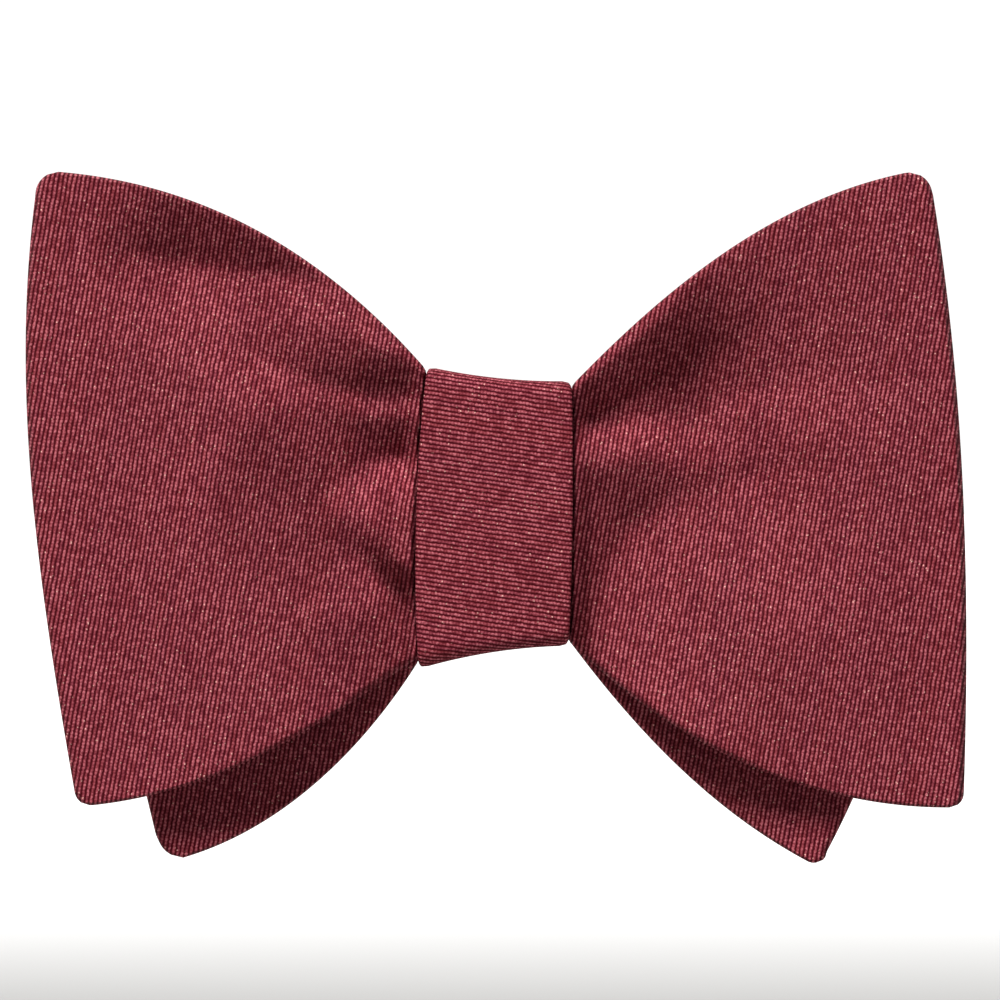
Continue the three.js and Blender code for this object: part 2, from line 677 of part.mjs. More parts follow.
const group = new THREE.Group();
const assemblies = {
  bow: buildKnot,
  left_wing: (body) => buildWingPair(body, 'left'),
  right_wing: (body) => buildWingPair(body, 'right'),
  band_left: buildLeftBand,
  band_right: buildRightBand,
  slider: buildSlider,
  hook: buildHook,
  eye: buildEye,
};
for (const build of Object.values(assemblies)) {
  const body = new THREE.Group();
  build(body);
  group.add(body);
}

export default group;
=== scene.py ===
"""A pre-tied butterfly bow tie of fine ribbed silk on an adjustable neckband.

-Y is the front, +X the right-hand side seen from the front, +Z up. Sizes in the
classes are millimetres, and meshes are made in metres.
"""
import sys

import logging
import math
from dataclasses import dataclass
from enum import Enum

import bmesh
import bpy
import numpy as np
from mathutils import Matrix, Vector

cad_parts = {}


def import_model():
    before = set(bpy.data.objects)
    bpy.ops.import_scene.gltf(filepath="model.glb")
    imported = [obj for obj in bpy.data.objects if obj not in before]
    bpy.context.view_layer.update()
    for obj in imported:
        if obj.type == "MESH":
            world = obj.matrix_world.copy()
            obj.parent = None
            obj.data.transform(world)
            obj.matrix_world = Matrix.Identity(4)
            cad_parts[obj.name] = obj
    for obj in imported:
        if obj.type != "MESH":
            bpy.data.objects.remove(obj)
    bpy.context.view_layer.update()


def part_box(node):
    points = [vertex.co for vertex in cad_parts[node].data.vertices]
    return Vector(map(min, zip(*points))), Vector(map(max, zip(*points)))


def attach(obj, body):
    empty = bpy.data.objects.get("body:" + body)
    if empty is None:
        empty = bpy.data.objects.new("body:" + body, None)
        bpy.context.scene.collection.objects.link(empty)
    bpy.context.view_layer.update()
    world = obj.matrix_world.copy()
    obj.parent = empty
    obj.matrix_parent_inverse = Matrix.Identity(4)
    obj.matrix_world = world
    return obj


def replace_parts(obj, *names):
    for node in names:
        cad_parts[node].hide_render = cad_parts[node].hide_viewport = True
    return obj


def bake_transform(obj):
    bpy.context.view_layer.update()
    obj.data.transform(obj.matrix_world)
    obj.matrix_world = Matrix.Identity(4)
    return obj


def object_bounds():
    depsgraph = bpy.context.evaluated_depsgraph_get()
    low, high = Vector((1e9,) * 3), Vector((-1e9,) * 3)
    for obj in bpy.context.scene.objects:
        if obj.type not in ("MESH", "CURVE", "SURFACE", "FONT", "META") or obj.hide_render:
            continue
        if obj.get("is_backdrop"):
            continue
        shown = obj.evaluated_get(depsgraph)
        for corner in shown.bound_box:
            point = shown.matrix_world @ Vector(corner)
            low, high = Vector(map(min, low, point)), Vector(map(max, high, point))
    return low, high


MM = 0.001
LOG = logging.getLogger("bow_tie")
Point = tuple[float, float]
Loop = list[Point]
Handles = tuple[Point, Point, Point, Point]
Colour = tuple[float, float, float, float]
CORNER_STEPS = 6


class Hand(Enum):
    """The side of the knot a piece lies on, seen from the front."""

    LEFT = -1
    RIGHT = 1

    @property
    def word(self) -> str:
        """The hand's name in lower case."""
        return self.name.lower()


class Layer(Enum):
    """The two bows that lie on each other."""

    FRONT = "front"
    BACK = "back"


class Side(Enum):
    """The two cloths of a wing, as distances' signs from its middle."""

    FACE = -1
    BACK = 1


# ---------------------------------------------------------------- curves and meshes


def eased(share: np.ndarray | float) -> np.ndarray | float:
    """A smooth step from 0 to 1, held outside that range."""
    t = np.clip(share, 0.0, 1.0)
    return t * t * (3 - 2 * t)


def lerp(a: np.ndarray | float, b: np.ndarray | float, t: np.ndarray | float) -> np.ndarray | float:
    """The value a share t of the way from a to b."""
    return a + (b - a) * t


def run_along(points: np.ndarray) -> np.ndarray:
    """The distance along a line at each of its points."""
    return np.r_[0, np.cumsum(np.linalg.norm(np.diff(points, axis=0), axis=1))]


def length_of(points: np.ndarray) -> float:
    """The full length of a line."""
    return np.linalg.norm(np.diff(points, axis=0), axis=1).sum()


def rim_of(grid: np.ndarray) -> np.ndarray:
    """The values round the edge of a grid, in order."""
    return np.concatenate([grid[:, 0], grid[-1, 1:], grid[-2::-1, -1], grid[0, -2:0:-1]])


def smooth_line(points: tuple[Point, ...], count: int) -> np.ndarray:
    """Runs a smooth line through a few points.

    Args:
        points: The points, in order.
        count: How many points to return.

    Returns:
        An array of points along a Catmull-Rom line, evenly spaced in its parameter.
    """
    given = np.array(points, float)
    padded = np.vstack([2 * given[0] - given[1], given, 2 * given[-1] - given[-2]])
    t = np.linspace(0, len(given) - 1, count)
    i = np.minimum(t.astype(int), len(given) - 2)
    f = (t - i)[:, None]
    p0, p1, p2, p3 = (padded[i + k] for k in range(4))
    return 0.5 * (
        2 * p1
        + (p2 - p0) * f
        + (2 * p0 - 5 * p1 + 4 * p2 - p3) * f**2
        + (3 * p1 - p0 - 3 * p2 + p3) * f**3
    )


def flowing_curve(handles: Handles, count: int = 240) -> np.ndarray:
    """Samples a cubic curve given by its two ends and two handles.

    Args:
        handles: Start, first handle, second handle and end.
        count: How many points to return.

    Returns:
        An array of points along the curve.
    """
    a, b, c, d = (np.array(p, float) for p in handles)
    t = np.linspace(0, 1, count)[:, None]
    return (1 - t) ** 3 * a + 3 * (1 - t) ** 2 * t * b + 3 * (1 - t) * t**2 * c + t**3 * d


def link(name: str, data: bpy.types.ID) -> bpy.types.Object:
    """Makes an object of some data and links it to the scene."""
    made = bpy.data.objects.new(name, data)
    bpy.context.scene.collection.objects.link(made)
    return made


def shade(mesh: bpy.types.Mesh, degrees: float) -> None:
    """Shades a mesh smooth, with a sharp edge wherever it turns by more than an angle."""
    mesh.polygons.foreach_set("use_smooth", [True] * len(mesh.polygons))
    mesh.set_sharp_from_angle(angle=math.radians(degrees))


def make_piece(
    name: str, points: np.ndarray, faces: list[list[int]], weave: np.ndarray | None
) -> bpy.types.Object:
    """Makes one closed, smooth piece.

    Args:
        name: The piece's name.
        points: Its vertices in millimetres.
        faces: Its faces as vertex indices.
        weave: For cloth, each vertex's place on the flat cloth in millimetres.

    Returns:
        The object, linked to the scene.
    """
    mesh = bpy.data.meshes.new(name)
    mesh.from_pydata((points * MM).tolist(), [], faces)
    work = bmesh.new()
    work.from_mesh(mesh)
    bmesh.ops.recalc_face_normals(work, faces=work.faces)
    work.to_mesh(mesh)
    work.free()
    shade(mesh, 50)
    if weave is not None:
        corner = np.zeros(len(mesh.loops), np.int32)
        mesh.loops.foreach_get("vertex_index", corner)
        layer = mesh.uv_layers.new(name="Weave")
        layer.data.foreach_set("uv", weave[corner].astype(np.float32).ravel())
    return link(name, mesh)


def slab(name: str, near: np.ndarray, far: np.ndarray, weave: np.ndarray) -> bpy.types.Object:
    """Makes a closed sheet from two grids of points.

    Args:
        name: The piece's name.
        near: Front points, as an array of columns, rows and 3 coordinates.
        far: Back points, in the same order.
        weave: Each grid point's place on the flat cloth.

    Returns:
        The sheet.
    """
    columns, rows = near.shape[:2]
    total = columns * rows
    index = np.arange(total).reshape(columns, rows)
    a, b, c, d = index[:-1, :-1], index[1:, :-1], index[1:, 1:], index[:-1, 1:]
    front = np.stack([a, b, c, d], -1).reshape(-1, 4)
    rim = rim_of(index)
    after = np.roll(rim, -1)
    walls = np.stack([rim, after, after + total, rim + total], -1)
    faces = np.concatenate([front, front[:, ::-1] + total, walls]).tolist()
    points = np.concatenate([near.reshape(-1, 3), far.reshape(-1, 3)])
    flat = weave.reshape(-1, 2)
    return make_piece(name, points, faces, np.concatenate([flat, flat]))


def swept(name: str, rings: np.ndarray, weave: np.ndarray | None, closed: bool) -> bpy.types.Object:
    """Makes a closed solid from a row of closed rings.

    Args:
        name: The piece's name.
        rings: Points, as an array of rings, points of a ring and 3 coordinates.
        weave: Each point's place on the flat cloth, or None.
        closed: Whether the last ring joins the first, instead of both being capped.

    Returns:
        The solid.
    """
    count, size = rings.shape[:2]
    index = np.arange(count * size).reshape(count, size)
    following = np.roll(index, -1, axis=0) if closed else index[1:]
    current = index if closed else index[:-1]
    across = np.roll(current, -1, axis=1)
    across_next = np.roll(following, -1, axis=1)
    faces = np.stack([current, following, across_next, across], -1).reshape(-1, 4).tolist()
    if not closed:
        faces += [index[0].tolist(), index[-1, ::-1].tolist()]
    flat = None if weave is None else weave.reshape(-1, 2)
    return make_piece(name, rings.reshape(-1, 3), faces, flat)


def strap_profile(height: float, thickness: float, rows: int, steps: int = 5) -> np.ndarray:
    """The closed cross-section of a flat strap with rounded edges.

    Args:
        height: Its full height.
        thickness: Its full thickness, whose half is about the radius of the edges.
        rows: Points along each flat face.
        steps: Points round a quarter of an edge.

    Returns:
        Points as (outward, up), running once round.
    """
    radius = thickness / 2 * 0.98
    level = height / 2 - radius
    face = np.linspace(-level, level, rows)
    turn = np.linspace(0, math.pi, 2 * steps + 1)[1:-1]
    outer = np.stack([np.full(rows, radius), face], -1)
    top = np.stack([radius * np.cos(turn), level + radius * np.sin(turn)], -1)
    inner = np.stack([np.full(rows, -radius), face[::-1]], -1)
    bottom = np.stack([-radius * np.cos(turn), -level - radius * np.sin(turn)], -1)
    return np.concatenate([outer, top, inner, bottom])


def strap(
    name: str, line: np.ndarray, normals: np.ndarray, profile: np.ndarray, ripple: float = 0.0
) -> bpy.types.Object:
    """Makes a strap that runs along a line in plan.

    Args:
        name: The piece's name.
        line: Points of its middle line, as (x, y).
        normals: The outward direction at each point.
        profile: Its cross-section as (outward, up).
        ripple: How far the cloth's faces wander, in and out.

    Returns:
        The strap.
    """
    run = run_along(line)
    out = np.broadcast_to(profile[:, 0], (len(line), len(profile))).copy()
    if ripple:
        # Two slow waves of unlike lengths, which fade out at the strap's ends.
        wander = np.sin(run * 0.37)[:, None] * np.cos(profile[:, 1] * 0.31 + 0.6)
        wander = wander + 0.6 * np.sin(run * 0.83 + 1.3)[:, None] * np.sin(profile[:, 1] * 0.22)
        out += ripple * wander * np.sin(math.pi * np.clip(run / run[-1], 0, 1))[:, None]
    rings = np.zeros((len(line), len(profile), 3))
    rings[..., :2] = line[:, None] + normals[:, None] * out[..., None]
    rings[..., 2] = profile[:, 1]
    along = np.broadcast_to(run[:, None], out.shape)
    weave = np.stack([along, np.broadcast_to(run_along(profile), out.shape)], -1)
    return swept(name, rings, weave, closed=False)


def plate(
    name: str, loops: list[Loop], thickness: float, rounding: float, place: Matrix
) -> bpy.types.Object:
    """Makes a flat metal or tape piece with rounded rims.

    Args:
        name: The piece's name.
        loops: The outline, and any holes, as closed loops.
        thickness: Its full thickness.
        rounding: Radius of its rims.
        place: Takes the drawing's axes to the object's frame, in millimetres.

    Returns:
        The plate.
    """
    curve = bpy.data.curves.new(name, "CURVE")
    curve.dimensions = "2D"
    curve.fill_mode = "BOTH"
    curve.extrude = max(thickness / 2 - rounding, 0.001)
    curve.bevel_depth = rounding
    curve.bevel_resolution = 3
    curve.offset = -rounding
    for loop in loops:
        spline = curve.splines.new("POLY")
        spline.points.add(len(loop) - 1)
        for point, (x, y) in zip(spline.points, loop):
            point.co = (x, y, 0, 1)
        spline.use_cyclic_u = True
    holder = link(name, curve)
    bpy.context.view_layer.update()
    graph = bpy.context.evaluated_depsgraph_get()
    mesh = bpy.data.meshes.new_from_object(holder.evaluated_get(graph))
    bpy.data.objects.remove(holder)
    work = bmesh.new()
    work.from_mesh(mesh)
    bmesh.ops.remove_doubles(work, verts=work.verts, dist=0.002)
    bmesh.ops.transform(work, matrix=place, verts=work.verts)
    bmesh.ops.scale(work, vec=(MM, MM, MM), verts=work.verts)
    bmesh.ops.recalc_face_normals(work, faces=work.faces)
    work.to_mesh(mesh)
    work.free()
    mesh.name = name
    shade(mesh, 32)
    return link(name, mesh)


def joined(name: str, pieces: list[bpy.types.Object]) -> bpy.types.Object:
    """Puts several pieces into one object.

    Args:
        name: The object's name.
        pieces: The pieces, which are used up.

    Returns:
        The object.
    """
    work = bmesh.new()
    for piece in pieces:
        work.from_mesh(piece.data)
    mesh = bpy.data.meshes.new(name)
    work.to_mesh(mesh)
    work.free()
    for piece in pieces:
        bpy.data.objects.remove(piece)
    shade(mesh, 40)
    return link(name, mesh)


def rod(
    name: str, start: np.ndarray, end: np.ndarray, radius: float, sides: int = 20
) -> bpy.types.Object:
    """Makes a round bar or a stitch with domed ends.

    Args:
        name: The piece's name.
        start: One end, in millimetres.
        end: The other end.
        radius: Its radius.
        sides: Points round it.

    Returns:
        The bar.
    """
    axis = end - start
    length = np.linalg.norm(axis)
    axis = axis / length
    aside = np.cross(axis, [0.0, 0.0, 1.0] if abs(axis[2]) < 0.9 else [1.0, 0.0, 0.0])
    aside /= np.linalg.norm(aside)
    other = np.cross(axis, aside)
    dome = np.linspace(0.12, math.pi / 2, 5)
    along = np.r_[radius * (1 - np.cos(dome)), length - radius * (1 - np.cos(dome[::-1]))]
    wide = np.r_[radius * np.sin(dome), radius * np.sin(dome[::-1])]
    turn = np.linspace(0, 2 * math.pi, sides, endpoint=False)
    circle = np.cos(turn)[:, None] * aside + np.sin(turn)[:, None] * other
    rings = start + along[:, None, None] * axis + wide[:, None, None] * circle
    return swept(name, rings, None, closed=False)


def stitched(
    name: str, middles: list[np.ndarray], half: np.ndarray, radius: float, sides: int = 8
) -> bpy.types.Object:
    """Makes a row of equal stitches as one object.

    Args:
        name: The object's name.
        middles: The middle of each stitch.
        half: From a stitch's middle to its end.
        radius: The thread's radius.
        sides: Points round the thread.

    Returns:
        The stitches.
    """
    made = [
        rod(f"{name}{k}", middle - half, middle + half, radius, sides)
        for k, middle in enumerate(middles)
    ]
    return joined(name, made)


def rounded_loop(x0: float, y0: float, x1: float, y1: float, low: float, high: float) -> Loop:
    """A rounded rectangle as a closed loop.

    Args:
        x0: Smaller x.
        y0: Smaller y.
        x1: Larger x.
        y1: Larger y.
        low: Radius of the corners at the smaller x.
        high: Radius of the corners at the larger x.

    Returns:
        The loop's points.
    """
    loop: Loop = []
    corners = [
        (x1 - high, y0 + high, high, -0.5),
        (x1 - high, y1 - high, high, 0.0),
        (x0 + low, y1 - low, low, 0.5),
        (x0 + low, y0 + low, low, 1.0),
    ]
    for x, y, radius, start in corners:
        for k in range(CORNER_STEPS + 1):
            angle = math.pi * (start + k / (2 * CORNER_STEPS))
            loop.append((x + radius * math.cos(angle), y + radius * math.sin(angle)))
    return loop


# ---------------------------------------------------------------- finishes


class NodeBench:
    """Lays out the shader nodes of one material."""

    def __init__(self, name: str) -> None:
        """Starts a material with a principled shader.

        Args:
            name: The material's name.
        """
        self.material = bpy.data.materials.new(name)
        self.material.use_nodes = True
        self.tree = self.material.node_tree
        self.tree.nodes.clear()
        self.shader = self.tree.nodes.new("ShaderNodeBsdfPrincipled")
        output = self.tree.nodes.new("ShaderNodeOutputMaterial")
        self.tree.links.new(self.shader.outputs[0], output.inputs[0])

    def put(self, socket: bpy.types.NodeSocket, value: object) -> None:
        """Sets a socket to a value, or links it to another socket."""
        if isinstance(value, bpy.types.NodeSocket):
            self.tree.links.new(value, socket)
        else:
            socket.default_value = value

    def node(self, kind: str, inputs: dict[str | int, object], **settings: object) -> bpy.types.Node:
        """Adds a node.

        Args:
            kind: The node's type.
            inputs: Values or sockets for its inputs, by name or number.
            **settings: Properties of the node.

        Returns:
            The node.
        """
        made = self.tree.nodes.new(kind)
        for key, value in settings.items():
            setattr(made, key, value)
        for key, value in inputs.items():
            self.put(made.inputs[key], value)
        return made

    def math(self, operation: str, *values: object) -> bpy.types.NodeSocket:
        """The result of a math node on one to three values."""
        return self.node("ShaderNodeMath", dict(enumerate(values)), operation=operation).outputs[0]

    def mix(self, share: object, first: object, second: object) -> bpy.types.NodeSocket:
        """A colour between two others, by a share."""
        inputs = {0: share, 6: first, 7: second}
        return self.node("ShaderNodeMix", inputs, data_type="RGBA").outputs[2]

    def noise(self, where: object, scale: float, detail: float = 2.0) -> bpy.types.NodeSocket:
        """Soft noise about one half."""
        inputs = {"Vector": where, "Scale": scale, "Detail": detail}
        return self.node("ShaderNodeTexNoise", inputs).outputs[0]

    def chance(self, x: object, y: object, z: float = 0.0) -> bpy.types.NodeSocket:
        """A random value from 0 to 1 for each whole x and y."""
        where = self.node("ShaderNodeCombineXYZ", {0: x, 1: y, 2: z}).outputs[0]
        return self.node("ShaderNodeTexWhiteNoise", {"Vector": where}, noise_dimensions="3D").outputs[0]

    def spread(self, value: object, low: float, high: float) -> bpy.types.NodeSocket:
        """Maps 0 to 1 on low to high."""
        return self.node("ShaderNodeMapRange", {0: value, 3: low, 4: high}).outputs[0]

    def arch(self, place: object) -> bpy.types.NodeSocket:
        """A round arch over each whole step, 0 between steps and 1 at their middles."""
        rise = self.math("SINE", self.math("MULTIPLY", self.math("FRACT", place), math.pi))
        return self.math("POWER", rise, 1.6)

    def cell(self, place: object, size: float) -> bpy.types.NodeSocket:
        """The whole number of the cell a place lies in."""
        return self.math("FLOOR", self.math("DIVIDE", place, size))

    def axes(self, where: bpy.types.NodeSocket) -> bpy.types.NodeOutputs:
        """The parts of a place."""
        return self.node("ShaderNodeSeparateXYZ", {0: where}).outputs

    def weave_map(self) -> bpy.types.NodeSocket:
        """The place on the piece's own Weave map, in millimetres."""
        return self.node("ShaderNodeUVMap", {}, uv_map="Weave").outputs[0]

    def object_place(self) -> bpy.types.NodeSocket:
        """The place in the object's own axes, in metres."""
        return self.node("ShaderNodeTexCoord", {}).outputs["Object"]

    def surface(
        self, colour: object, height: object, rough: Point, depth: float, strength: float = 1.0
    ) -> bpy.types.Material:
        """Finishes the material with its colour, roughness and relief.

        Args:
            colour: The base colour.
            height: The height map, 0 to 1.
            rough: The roughness at heights 0 and 1.
            depth: The relief's full depth in millimetres.
            strength: The share of the relief that shows.

        Returns:
            The material.
        """
        self.put(self.shader.inputs["Base Color"], colour)
        self.put(self.shader.inputs["Roughness"], self.spread(height, *rough))
        inputs = {"Height": height, "Distance": depth * MM, "Strength": strength}
        self.put(self.shader.inputs["Normal"], self.node("ShaderNodeBump", inputs).outputs[0])
        return self.material


@dataclass(frozen=True)
class RibbedSilk:
    """Fine corded silk: soft broken ribs with furrows between them, coloured with painted shade in the
    furrows, a painted highlight on the rib tops and rare painted glints.

    Ribs are `pitch` apart and lean by `lean` degrees, and each is a row of beads `bead` long.
    """

    name: str
    lean: float
    pitch: float = 0.58
    bead: float = 0.46
    rib: Colour = (0.305, 0.030, 0.044, 1)
    cool: Colour = (0.250, 0.024, 0.047, 1)
    # The tip colour is a painted highlight, mixed in on the highest parts of the ribs.
    tip: Colour = (0.475, 0.128, 0.150, 1)
    # The colour for the furrows is painted shade between the ribs, not a darker dye.
    furrow_shade: Colour = (0.034, 0.0002, 0.0020, 1)
    # These four fields paint rare bright glints of light on the rib tops, as painted highlights.
    slub: Colour = (0.92, 0.52, 0.44, 1)
    slub_size: float = 0.17
    slub_rarity: float = 0.992
    slub_show: float = 0.75
    specular: float = 0.08
    bump: float = 0.10

    def material(self) -> bpy.types.Material:
        """Builds the cloth.

        Returns:
            The material, laid out on each piece's own Weave map.
        """
        bench = NodeBench(self.name)
        flat = bench.weave_map()
        parts = bench.axes(flat)
        turn = math.radians(self.lean)
        across = self.turned(bench, parts, math.cos(turn), -math.sin(turn), self.pitch)
        # A wide and a narrow wander keep the ribs from running dead straight.
        for scale, detail, sway in ((0.45, 3.0, 0.5), (2.8, 1.0, 0.45)):
            wander = bench.math("SUBTRACT", bench.noise(flat, scale, detail), 0.5)
            across = bench.math("MULTIPLY_ADD", wander, sway, across)
        rib = bench.math("FLOOR", across)
        along = self.turned(bench, parts, math.sin(turn), math.cos(turn), self.bead)
        along = bench.math("MULTIPLY_ADD", bench.chance(rib, 0.0, 3.0), 5.0, along)
        tuft = bench.chance(rib, bench.math("FLOOR", along))
        height = bench.arch(across)
        # The beads, the luck of each bead and the single fibres make the ribs uneven; as the height
        # also sets the colour, the fibres' fine noise is partly relief and partly painted fibre glints.
        uneven = (
            (bench.arch(along), 0.68, 1.0),
            (tuft, 0.62, 1.2),
            (bench.noise(flat, 5.5, 1.0), 0.45, 1.55),
        )
        for part, low, high in uneven:
            height = bench.math("MULTIPLY", height, bench.spread(part, low, high))
        tone = bench.mix(bench.chance(rib, 0.0, 7.0), self.rib, self.cool)
        tone = bench.mix(bench.math("MULTIPLY", tuft, 0.35), tone, self.cool)
        # The low parts of the relief take the colour for the furrows, which paints shade into them.
        colour = bench.mix(height, self.furrow_shade, tone)
        # The tip colour, a painted highlight, whitens the highest parts of the ribs.
        colour = bench.mix(bench.math("POWER", height, 3.0), colour, self.tip)
        # Rare cells on the rib tops get a painted glint of light.
        glint_chance = bench.chance(*(bench.cell(parts[k], self.slub_size) for k in range(2)))
        shown = bench.math("MULTIPLY", bench.math("GREATER_THAN", glint_chance, self.slub_rarity), height)
        colour = bench.mix(bench.math("MULTIPLY", shown, self.slub_show), colour, self.slub)
        cloudy = bench.spread(bench.noise(flat, 0.06, 2.0), 0.9, 1.1)
        inputs = {"Value": cloudy, "Color": colour}
        colour = bench.node("ShaderNodeHueSaturation", inputs).outputs[0]
        bench.shader.inputs["Specular IOR Level"].default_value = self.specular
        return bench.surface(colour, height, (0.85, 0.56), self.bump, 0.7)

    @staticmethod
    def turned(
        bench: NodeBench, parts: bpy.types.NodeOutputs, a: float, b: float, size: float
    ) -> bpy.types.NodeSocket:
        """The place along a turned direction (a, b), in steps of `size`."""
        first = bench.math("MULTIPLY", parts[0], a / size)
        return bench.math("MULTIPLY_ADD", parts[1], b / size, first)


@dataclass(frozen=True)
class Canvas:
    """Plain woven interlining: crossing threads with uneven thickness."""

    name: str = "interlining canvas"
    light: Colour = (0.72, 0.67, 0.56, 1)
    dark: Colour = (0.47, 0.42, 0.33, 1)
    thread: float = 0.42

    def material(self) -> bpy.types.Material:
        """Builds the canvas on the Weave map."""
        bench = NodeBench(self.name)
        flat = bench.weave_map()
        warp, weft = (
            bench.arch(bench.math("DIVIDE", part, self.thread)) for part in bench.axes(flat)[:2]
        )
        uneven = bench.spread(bench.noise(flat, 0.8, 3.0), 0.7, 1.1)
        height = bench.math("MULTIPLY", bench.math("MULTIPLY", warp, weft), uneven)
        # The dark colour fills the low parts between the threads, as painted shade.
        return bench.surface(bench.mix(height, self.dark, self.light), height, (0.98, 0.85), 0.12)


@dataclass(frozen=True)
class LabelTape:
    """Woven satin tape: fine crosswise floats."""

    name: str = "label tape"
    light: Colour = (0.80, 0.76, 0.69, 1)
    dark: Colour = (0.60, 0.55, 0.47, 1)
    rib: float = 0.3
    float_length: float = 0.9

    def material(self) -> bpy.types.Material:
        """Builds the tape in the object's own axes."""
        bench = NodeBench(self.name)
        parts = bench.axes(bench.object_place())
        rib = bench.math("DIVIDE", parts[2], self.rib * MM)
        floats = bench.chance(bench.math("FLOOR", rib), bench.cell(parts[1], self.float_length * MM))
        tone = bench.mix(bench.math("MULTIPLY", floats, 0.5), self.light, self.dark)
        height = bench.arch(rib)
        # The dark colour also fills the grooves between the ribs, as painted shade.
        return bench.surface(bench.mix(height, self.dark, tone), height, (0.7, 0.42), 0.06)


@dataclass(frozen=True)
class Thread:
    """Twisted sewing thread."""

    name: str = "sewing thread"
    light: Colour = (0.23, 0.040, 0.055, 1)
    dark: Colour = (0.05, 0.006, 0.010, 1)
    twist: float = 0.22

    def material(self) -> bpy.types.Material:
        """Builds the thread in the object's own axes."""
        bench = NodeBench(self.name)
        parts = bench.axes(bench.object_place())
        slant = bench.math("ADD", bench.math("ADD", parts[0], parts[1]), parts[2])
        height = bench.arch(bench.math("DIVIDE", slant, self.twist * MM))
        # The dark colour fills the grooves of the twist, as painted shade.
        return bench.surface(bench.mix(height, self.dark, self.light), height, (0.75, 0.5), 0.05)


@dataclass(frozen=True)
class Nickel:
    """Plated wire and sheet: fine scuffs and a slightly warm tint."""

    name: str = "nickel plate"
    tone: Colour = (0.66, 0.63, 0.58, 1)
    dull: Colour = (0.44, 0.41, 0.37, 1)
    scuff_scale: tuple[float, float, float] = (900, 900, 6000)

    def material(self) -> bpy.types.Material:
        """Builds the plating in the object's own axes."""
        bench = NodeBench(self.name)
        place = bench.object_place()
        inputs = {"Vector": place, "Scale": self.scuff_scale}
        scuff = bench.noise(bench.node("ShaderNodeMapping", inputs).outputs[0], 1.0, 4.0)
        colour = bench.mix(bench.noise(place, 260.0, 3.0), self.tone, self.dull)
        bench.shader.inputs["Metallic"].default_value = 1.0
        return bench.surface(colour, scuff, (0.18, 0.42), 0.015)


@dataclass(frozen=True)
class Finishes:
    """The materials that the pieces take, by their use."""

    wing: bpy.types.Material
    knot: bpy.types.Material
    band: bpy.types.Material
    canvas: bpy.types.Material
    thread: bpy.types.Material
    tape: bpy.types.Material
    nickel: bpy.types.Material


def dress(piece: bpy.types.Object, material: bpy.types.Material) -> bpy.types.Object:
    """Gives a piece its material.

    Args:
        piece: The piece.
        material: Its finish.

    Returns:
        The same piece.
    """
    piece.data.materials.clear()
    piece.data.materials.append(material)
    return piece or piece


# ---------------------------------------------------------------- folds


@dataclass(frozen=True)
class Fold:
    """A crease that the cloth slopes into on one side and leaves on the other.

    `line` runs from the knot outward as (distance from the middle, height). `rise`, `fall` and
    `share` are given at points spread evenly along it: the width of the slope to the left of
    the line's direction, which ends sharply in the crease, the width of the rounded slope to
    its right, and the depth's share there.
    """

    line: tuple[Point, ...]
    depth: float
    rise: tuple[float, ...]
    fall: tuple[float, ...]
    share: tuple[float, ...]

    def sink(self, x: np.ndarray, z: np.ndarray) -> np.ndarray:
        """How far the cloth sinks back.

        Args:
            x: Distances from the middle of the knot.
            z: Heights.

        Returns:
            Depths in millimetres, in the shape of x.
        """
        path = smooth_line(self.line, 90)
        run = run_along(path)
        spots = np.stack([x.ravel(), z.ravel()], -1)
        start, step = path[:-1], np.diff(path, axis=0)
        span = (step**2).sum(1)
        best = np.full(len(spots), np.inf)
        side = np.zeros(len(spots))
        place = np.zeros(len(spots))
        for k in range(len(step)):
            offset = spots - start[k]
            t = np.clip(offset @ step[k] / span[k], 0, 1)
            away = offset - t[:, None] * step[k]
            distance = np.hypot(away[:, 0], away[:, 1])
            turn = step[k, 0] * offset[:, 1] - step[k, 1] * offset[:, 0]
            nearer = distance < best
            best = np.where(nearer, distance, best)
            side = np.where(nearer, np.sign(turn), side)
            place = np.where(nearer, (run[k] + t * (run[k + 1] - run[k])) / run[-1], place)
        rise, fall, share = (self.along(v, place) for v in (self.rise, self.fall, self.share))
        above = (1 - np.clip(best / rise, 0, 1)) ** 1.1
        below = 1 - eased(best / fall)
        return (self.depth * share * np.where(side >= 0, above, below)).reshape(x.shape)

    @staticmethod
    def along(values: tuple[float, ...], place: np.ndarray) -> np.ndarray:
        """Values spread evenly along the line, smoothly in between."""
        return np.interp(place, np.linspace(0, 1, len(values)), values)


# ---------------------------------------------------------------- wings


